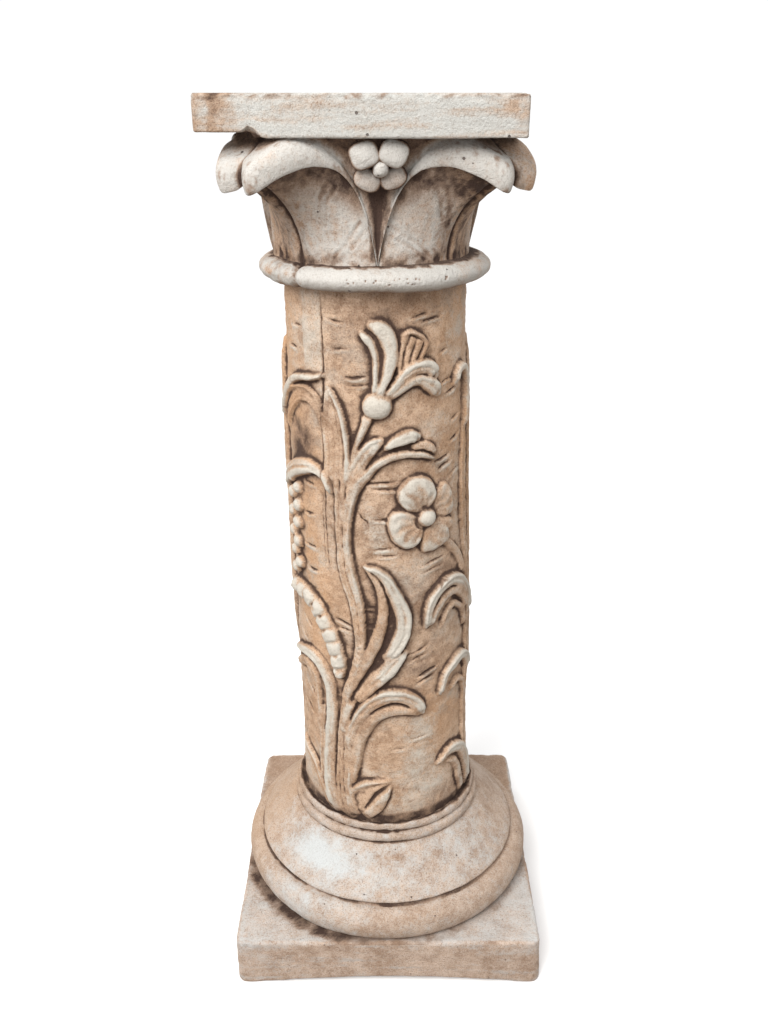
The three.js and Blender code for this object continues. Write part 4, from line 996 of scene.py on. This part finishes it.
def wash_group():
    """Old wash on stone: brown ground, warm tint, cream where rubbed and as painted highlight, soiling and
    painted shade, speckle and air holes.
    """
    values = (("Rub and light", 0.5), ("Grime and shade", 0.0), ("Warmth", 0.3), ("Air holes", 0.5), ("Mottle", 1.0))
    colours = ("Cream", "Tan", "Brown", "Warm tint", "Dirt and shade")
    tree, given, out = new_group(
        "stone_wash",
        [("Place", "NodeSocketVector", None)]
        + [(label, "NodeSocketFloat", default) for label, default in values]
        + [(label, "NodeSocketColor", None) for label in colours],
        [("Color", "NodeSocketColor"), ("Holes", "NodeSocketFloat")])
    place, rub_and_light, grime_and_shade, warmth, air, mottle, cream, tan, brown, warm, dirt_and_shade = given.outputs[:11]
    broad = noise(tree, place, 42, 5, 0.6, 0.4)
    middle = noise(tree, place, 130, 5, 0.66, 0.3)
    blotch = maths(tree, "MULTIPLY_ADD", middle, 0.45, maths(tree, "MULTIPLY_ADD", broad, 0.55, -0.5))
    cloud = maths(tree, "MULTIPLY", blotch, mottle)
    fine = noise(tree, place, 400, 5, 0.74)
    speck = noise(tree, place, 900, 3, 0.75)
    ground = blended(tree, ranged(tree, cloud, -0.12, 0.08), brown, tan)
    tint = maths(tree, "MULTIPLY", warmth, ranged(tree, cloud, 0.2, -0.2, 0.55, 1.0), clamp=True)
    ground = blended(tree, tint, ground, warm)
    uneven = maths(tree, "MULTIPLY_ADD", fine, 0.9, maths(tree, "MULTIPLY_ADD", cloud, 0.5, -0.45))
    # The wear value also carries painted highlight and painted shade, so worn is partly painted light.
    worn = maths(tree, "ADD", uneven, rub_and_light)
    colour = blended(tree, ranged(tree, worn, 0.15, 0.85), ground, cream)
    colour = blended(tree, ranged(tree, speck, 0.46, 0.32, 0.0, 0.35), colour, cream)
    # Soiling and painted shade alike take the colour towards brown, then towards the darkest tone.
    soil_and_shade = maths(tree, "ADD", grime_and_shade, maths(tree, "MULTIPLY_ADD", fine, 0.8, -0.43))
    colour = blended(tree, ranged(tree, soil_and_shade, 0.0, 0.55, 0.0, 0.85), colour, brown)
    colour = blended(tree, ranged(tree, soil_and_shade, 0.35, 0.95, 0.0, 0.95), colour, dirt_and_shade)
    dots = maths(tree, "MULTIPLY", ranged(tree, speck, 0.50, 0.66, 0.0, 0.55),
                 ranged(tree, worn, 0.9, 0.3, 0.45, 1.0))
    colour = blended(tree, dots, colour, brown, "MULTIPLY")
    cells = wire(tree, "ShaderNodeTexVoronoi", Vector=place, Scale=150, Randomness=1.0)
    chance = wire(tree, "ShaderNodeSeparateColor", Color=cells.outputs["Color"]).outputs[0]
    reach = maths(tree, "MULTIPLY", ranged(tree, chance, 0.72, 1.0, 0.0, 0.24), air)
    depth = maths(tree, "SUBTRACT", reach, cells.outputs["Distance"])
    holes = maths(tree, "MULTIPLY", depth, 30.0, clamp=True)
    colour = blended(tree, maths(tree, "MULTIPLY", holes, 0.8), colour, dirt_and_shade)
    tree.links.new(colour, out.inputs["Color"])
    tree.links.new(holes, out.inputs["Holes"])
    return tree


def grain_group():
    """The stone's grain as a height: fine sand, coarser lumps, and the air holes sunk in."""
    tree, given, out = new_group(
        "stone_grain",
        [("Place", "NodeSocketVector", None), ("Holes", "NodeSocketFloat", 0.0)],
        [("Height", "NodeSocketFloat")])
    sand = noise(tree, given.outputs["Place"], 1100, 3, 0.8)
    lumps = noise(tree, given.outputs["Place"], 320, 4, 0.6)
    height = maths(tree, "MULTIPLY_ADD", lumps, 1.4, sand)
    height = maths(tree, "SUBTRACT", height, maths(tree, "MULTIPLY", given.outputs["Holes"], 1.6))
    tree.links.new(height, out.inputs["Height"])
    return tree


def stone(name, colours, holes, mottle, cast):
    """A cast-stone finish: the wash gives the colour, the grain the bump, `cast` tints the pale tones."""
    if name in bpy.data.materials:
        return bpy.data.materials[name]
    material = bpy.data.materials.new(name)
    material.use_nodes = True
    tree = material.node_tree
    tree.nodes.clear()
    place = tree.nodes.new("ShaderNodeTexCoord").outputs["Object"]
    read = {label: wire(tree, "ShaderNodeAttribute", {"attribute_name": label}).outputs["Fac"]
            for label in ("rub_and_light", "grime_and_shade", "warm")}
    wash = tree.nodes.new("ShaderNodeGroup")
    wash.node_tree = bpy.data.node_groups.get("stone_wash") or wash_group()
    given = {"Place": place, "Rub and light": read["rub_and_light"], "Grime and shade": read["grime_and_shade"], "Warmth": read["warm"]}
    for label, socket in given.items():
        tree.links.new(socket, wash.inputs[label])
    wash.inputs["Air holes"].default_value = holes
    wash.inputs["Mottle"].default_value = mottle
    for label, colour in (("Cream", colours.cream), ("Tan", colours.tan), ("Warm tint", colours.warm)):
        wash.inputs[label].default_value = (*[part * share for part, share in zip(colour, cast)], 1)
    for label, colour in (("Brown", colours.brown), ("Dirt and shade", colours.dirt_and_shade)):
        wash.inputs[label].default_value = (*colour, 1)
    grain = tree.nodes.new("ShaderNodeGroup")
    grain.node_tree = bpy.data.node_groups.get("stone_grain") or grain_group()
    tree.links.new(place, grain.inputs["Place"])
    tree.links.new(wash.outputs["Holes"], grain.inputs["Holes"])
    bump = wire(tree, "ShaderNodeBump", Strength=BUMP_STRENGTH, Distance=BUMP_DISTANCE,
                Height=grain.outputs["Height"])
    rough = ranged(tree, read["grime_and_shade"], 0.0, 1.0, 0.78, 0.95)
    shader = wire(tree, "ShaderNodeBsdfPrincipled", Base_Color=wash.outputs["Color"], Roughness=rough,
                  Normal=bump.outputs[0])
    shader.inputs["Specular IOR Level"].default_value = GLOSS
    out = tree.nodes.new("ShaderNodeOutputMaterial")
    tree.links.new(shader.outputs[0], out.inputs[0])
    return material


# Settings, operators and panel

def length(name, description, default):
    """A length in metres that the panel shows."""
    return bpy.props.FloatProperty(name=name, description=description, default=default, min=0.0,
                                   unit="LENGTH", precision=4)


def tone(name, description, default):
    """A colour that the panel shows."""
    return bpy.props.FloatVectorProperty(name=name, description=description, default=default, size=3,
                                         min=0.0, max=1.0, subtype="COLOR")


class ColumnSizes(bpy.types.PropertyGroup):
    """Sizes of the column's pieces"""
    plinth_side: length("Plinth side", "Side of the square plinth", 0.257)
    plinth_thick: length("Plinth thickness", "Thickness of the plinth at the middle of a side", 0.0403)
    torus_radius: length("Torus radius", "Radius of the round moulding on the plinth", 0.1295)
    slab_side: length("Slab side", "Side of the square slab on top", 0.2075)
    seam_depth: length("Seam depth", "Depth of the mould seam down the shaft", 0.0016)
    grid_step: length("Carving step", "Distance between the points of the carved shaft", 0.0008)
    carving: bpy.props.FloatProperty(
        name="Carving", description="Height of the carving, 1 for the full relief", default=1.0, min=0.2,
        max=1.2, subtype="FACTOR")


class StoneColours(bpy.types.PropertyGroup):
    """Colours of the stone and its worn wash"""
    cream: tone("Cream", "Stone where the wash is rubbed off", (0.53, 0.512, 0.465))
    tan: tone("Tan", "Wash on the open ground", (0.535, 0.40, 0.297))
    brown: tone("Brown", "Wash where it is thicker", (0.25, 0.16, 0.105))
    warm: tone("Warm tint", "Warmer wash at the sides", (0.51, 0.325, 0.195))
    # The darkest tone serves soiling in the hollows and also painted shade; brown takes the lighter painted
    # shade too.
    dirt_and_shade: tone("Dirt and shade", "Dirt in the hollows", (0.05, 0.028, 0.021))


class StudioSettings(bpy.types.PropertyGroup):
    """Camera, floor and light"""
    key_power: bpy.props.FloatProperty(
        name="Key light", description="Power of the large soft lamp", default=52.0, min=0.0, unit="POWER")
    floor_size: length("Floor size", "Side of the pale floor", 40.0)
    camera_height: length("Camera height", "Height of the camera, level with the slab's top face", 0.705)


class ColumnOperator:
    """What every builder of a piece shares: the panel's settings, and an error if nothing was made"""
    bl_options = {"REGISTER", "UNDO"}
    holes = 0.5
    mottle = 1.0
    cast = (1.0, 1.0, 1.0)

    def execute(self, context):
        scene = context.scene
        material = stone(self.finish, scene.stone_colours, self.holes, self.mottle, self.cast)
        for maker in self.makers:
            piece = maker(scene.column_sizes, material)
            if not len(piece.data.polygons):
                raise RuntimeError(f"{piece.name} came out empty")
        return {"FINISHED"}


class OBJECT_OT_column_plinth(ColumnOperator, bpy.types.Operator):
    """Builds the square plinth"""
    bl_idname = "object.column_plinth"
    bl_label = "Plinth"
    finish = "washed_plinth_stone"
    mottle = 0.55
    cast = (1.0, 1.04, 1.12)
    makers = (make_plinth,)


class OBJECT_OT_column_foot(ColumnOperator, bpy.types.Operator):
    """Builds the moulded foot"""
    bl_idname = "object.column_foot"
    bl_label = "Moulded foot"
    finish = "washed_foot_stone"
    mottle = 0.5
    # This cool cast on the pale tones is a painted tint of cool light.
    cast = (0.97, 1.03, 1.12)
    makers = (make_foot,)


class OBJECT_OT_column_shaft(ColumnOperator, bpy.types.Operator):
    """Builds the carved shaft"""
    bl_idname = "object.column_shaft"
    bl_label = "Carved shaft"
    finish = "washed_carved_stone"
    holes = 0.3
    cast = (1.05, 1.01, 0.97)
    makers = (make_shaft,)


class OBJECT_OT_column_capital(ColumnOperator, bpy.types.Operator):
    """Builds the ring, the curled leaves and the flowers of the capital"""
    bl_idname = "object.column_capital"
    bl_label = "Capital"
    finish = "washed_capital_stone"
    holes = 0.7
    mottle = 0.85
    cast = (1.0, 1.0, 1.03)
    makers = (make_ring, make_leaves, make_flowers)


class OBJECT_OT_column_slab(ColumnOperator, bpy.types.Operator):
    """Builds the square slab on top"""
    bl_idname = "object.column_slab"
    bl_label = "Slab"
    finish = "washed_slab_stone"
    holes = 0.7
    mottle = 0.5
    cast = (0.91, 0.94, 0.98)
    makers = (make_slab,)


class OBJECT_OT_column_stage(bpy.types.Operator):
    """Sets up the pale floor, the soft light and the camera"""
    bl_idname = "object.column_stage"
    bl_label = "Floor, light and camera"
    bl_options = {"REGISTER", "UNDO"}

    def execute(self, context):
        studio = context.scene.studio_settings
        make_floor(studio.floor_size)
        make_light(studio.key_power)
        make_camera(studio.camera_height)
        context.scene.view_settings.view_transform = "Standard"
        if context.scene.camera is None:
            raise RuntimeError("the scene has no camera")
        return {"FINISHED"}


def make_floor(size):
    """A flat pale square under the column. It sends no light back up, as a wide dull floor would."""
    half = size / 2
    mesh = bpy.data.meshes.new("studio_floor")
    corners = [(-half, -half, 0), (half, -half, 0), (half, half, 0), (-half, half, 0)]
    mesh.from_pydata(corners, [], [(0, 1, 2, 3)])
    floor = bpy.data.objects.new("studio_floor", mesh)
    bpy.context.scene.collection.objects.link(floor)
    material = bpy.data.materials.new("pale_floor")
    material.use_nodes = True
    shader = material.node_tree.nodes["Principled BSDF"]
    shader.inputs["Base Color"].default_value = (1.0, 1.0, 1.0, 1)
    shader.inputs["Roughness"].default_value = 0.9
    shader.inputs["Specular IOR Level"].default_value = 0.0
    mesh.materials.append(material)
    floor.visible_diffuse = False


def make_light(power):
    """A white dome that is darker below, and one large soft lamp at the upper left of the front."""
    world = bpy.data.worlds.new("studio_dome")
    bpy.context.scene.world = world
    world.use_nodes = True
    tree = world.node_tree
    tree.nodes.clear()
    way = tree.nodes.new("ShaderNodeTexCoord").outputs["Generated"]
    height = wire(tree, "ShaderNodeSeparateXYZ", Vector=way).outputs["Z"]
    share = ranged(tree, height, -0.35, -0.02)
    colour = blended(tree, share, (0.30, 0.24, 0.19, 1), (1.0, 1.0, 1.0, 1))
    background = wire(tree, "ShaderNodeBackground", Color=colour, Strength=1.04)
    out = tree.nodes.new("ShaderNodeOutputWorld")
    tree.links.new(background.outputs[0], out.inputs[0])
    lamp = bpy.data.lights.new("soft_key", "AREA")
    lamp.energy, lamp.size, lamp.color = power, LAMP_SIZE, (1.0, 0.985, 0.97)
    key = bpy.data.objects.new("soft_key", lamp)
    key.location = LAMP_PLACE
    key.rotation_euler = (Vector(LAMP_AIM) - key.location).to_track_quat("-Z", "Y").to_euler()
    bpy.context.scene.collection.objects.link(key)


def make_camera(height):
    """A phone-like camera in front of the column, level with the slab's top and tipped down."""
    data = bpy.data.cameras.new("front_camera")
    data.sensor_width, data.lens = SENSOR_WIDTH, LENS
    camera = bpy.data.objects.new("front_camera", data)
    camera.location = (CAMERA_X, CAMERA_Y, height)
    camera.rotation_euler = (math.radians(CAMERA_TILT), 0, 0)
    bpy.context.scene.collection.objects.link(camera)
    bpy.context.scene.camera = camera


BUILDERS = (OBJECT_OT_column_plinth, OBJECT_OT_column_foot, OBJECT_OT_column_shaft,
            OBJECT_OT_column_capital, OBJECT_OT_column_slab, OBJECT_OT_column_stage)


class VIEW3D_PT_column(bpy.types.Panel):
    """Lists the column's settings and its builders"""
    bl_idname = "VIEW3D_PT_column"
    bl_label = "Pedestal column"
    bl_space_type = "VIEW_3D"
    bl_region_type = "UI"
    bl_category = "Column"

    def draw(self, context):
        scene = context.scene
        for settings in (scene.column_sizes, scene.stone_colours, scene.studio_settings):
            box = self.layout.box()
            for label in settings.__annotations__:
                box.prop(settings, label)
        for builder in BUILDERS:
            self.layout.operator(builder.bl_idname)


SETTINGS = (("column_sizes", ColumnSizes), ("stone_colours", StoneColours),
            ("studio_settings", StudioSettings))


def register():
    for _, group in SETTINGS:
        bpy.utils.register_class(group)
    for label, group in SETTINGS:
        setattr(bpy.types.Scene, label, bpy.props.PointerProperty(type=group))
    for builder in (*BUILDERS, VIEW3D_PT_column):
        bpy.utils.register_class(builder)


def unregister():
    for builder in (VIEW3D_PT_column, *BUILDERS[::-1]):
        bpy.utils.unregister_class(builder)
    for label, group in SETTINGS[::-1]:
        delattr(bpy.types.Scene, label)
        bpy.utils.unregister_class(group)


def main():
    """Builds every piece and the stage."""
    register()
    bpy.ops.object.column_plinth()
    bpy.ops.object.column_foot()
    bpy.ops.object.column_shaft()
    bpy.ops.object.column_capital()
    bpy.ops.object.column_slab()
    bpy.ops.object.column_stage()


if __name__ == "__main__":
    main()
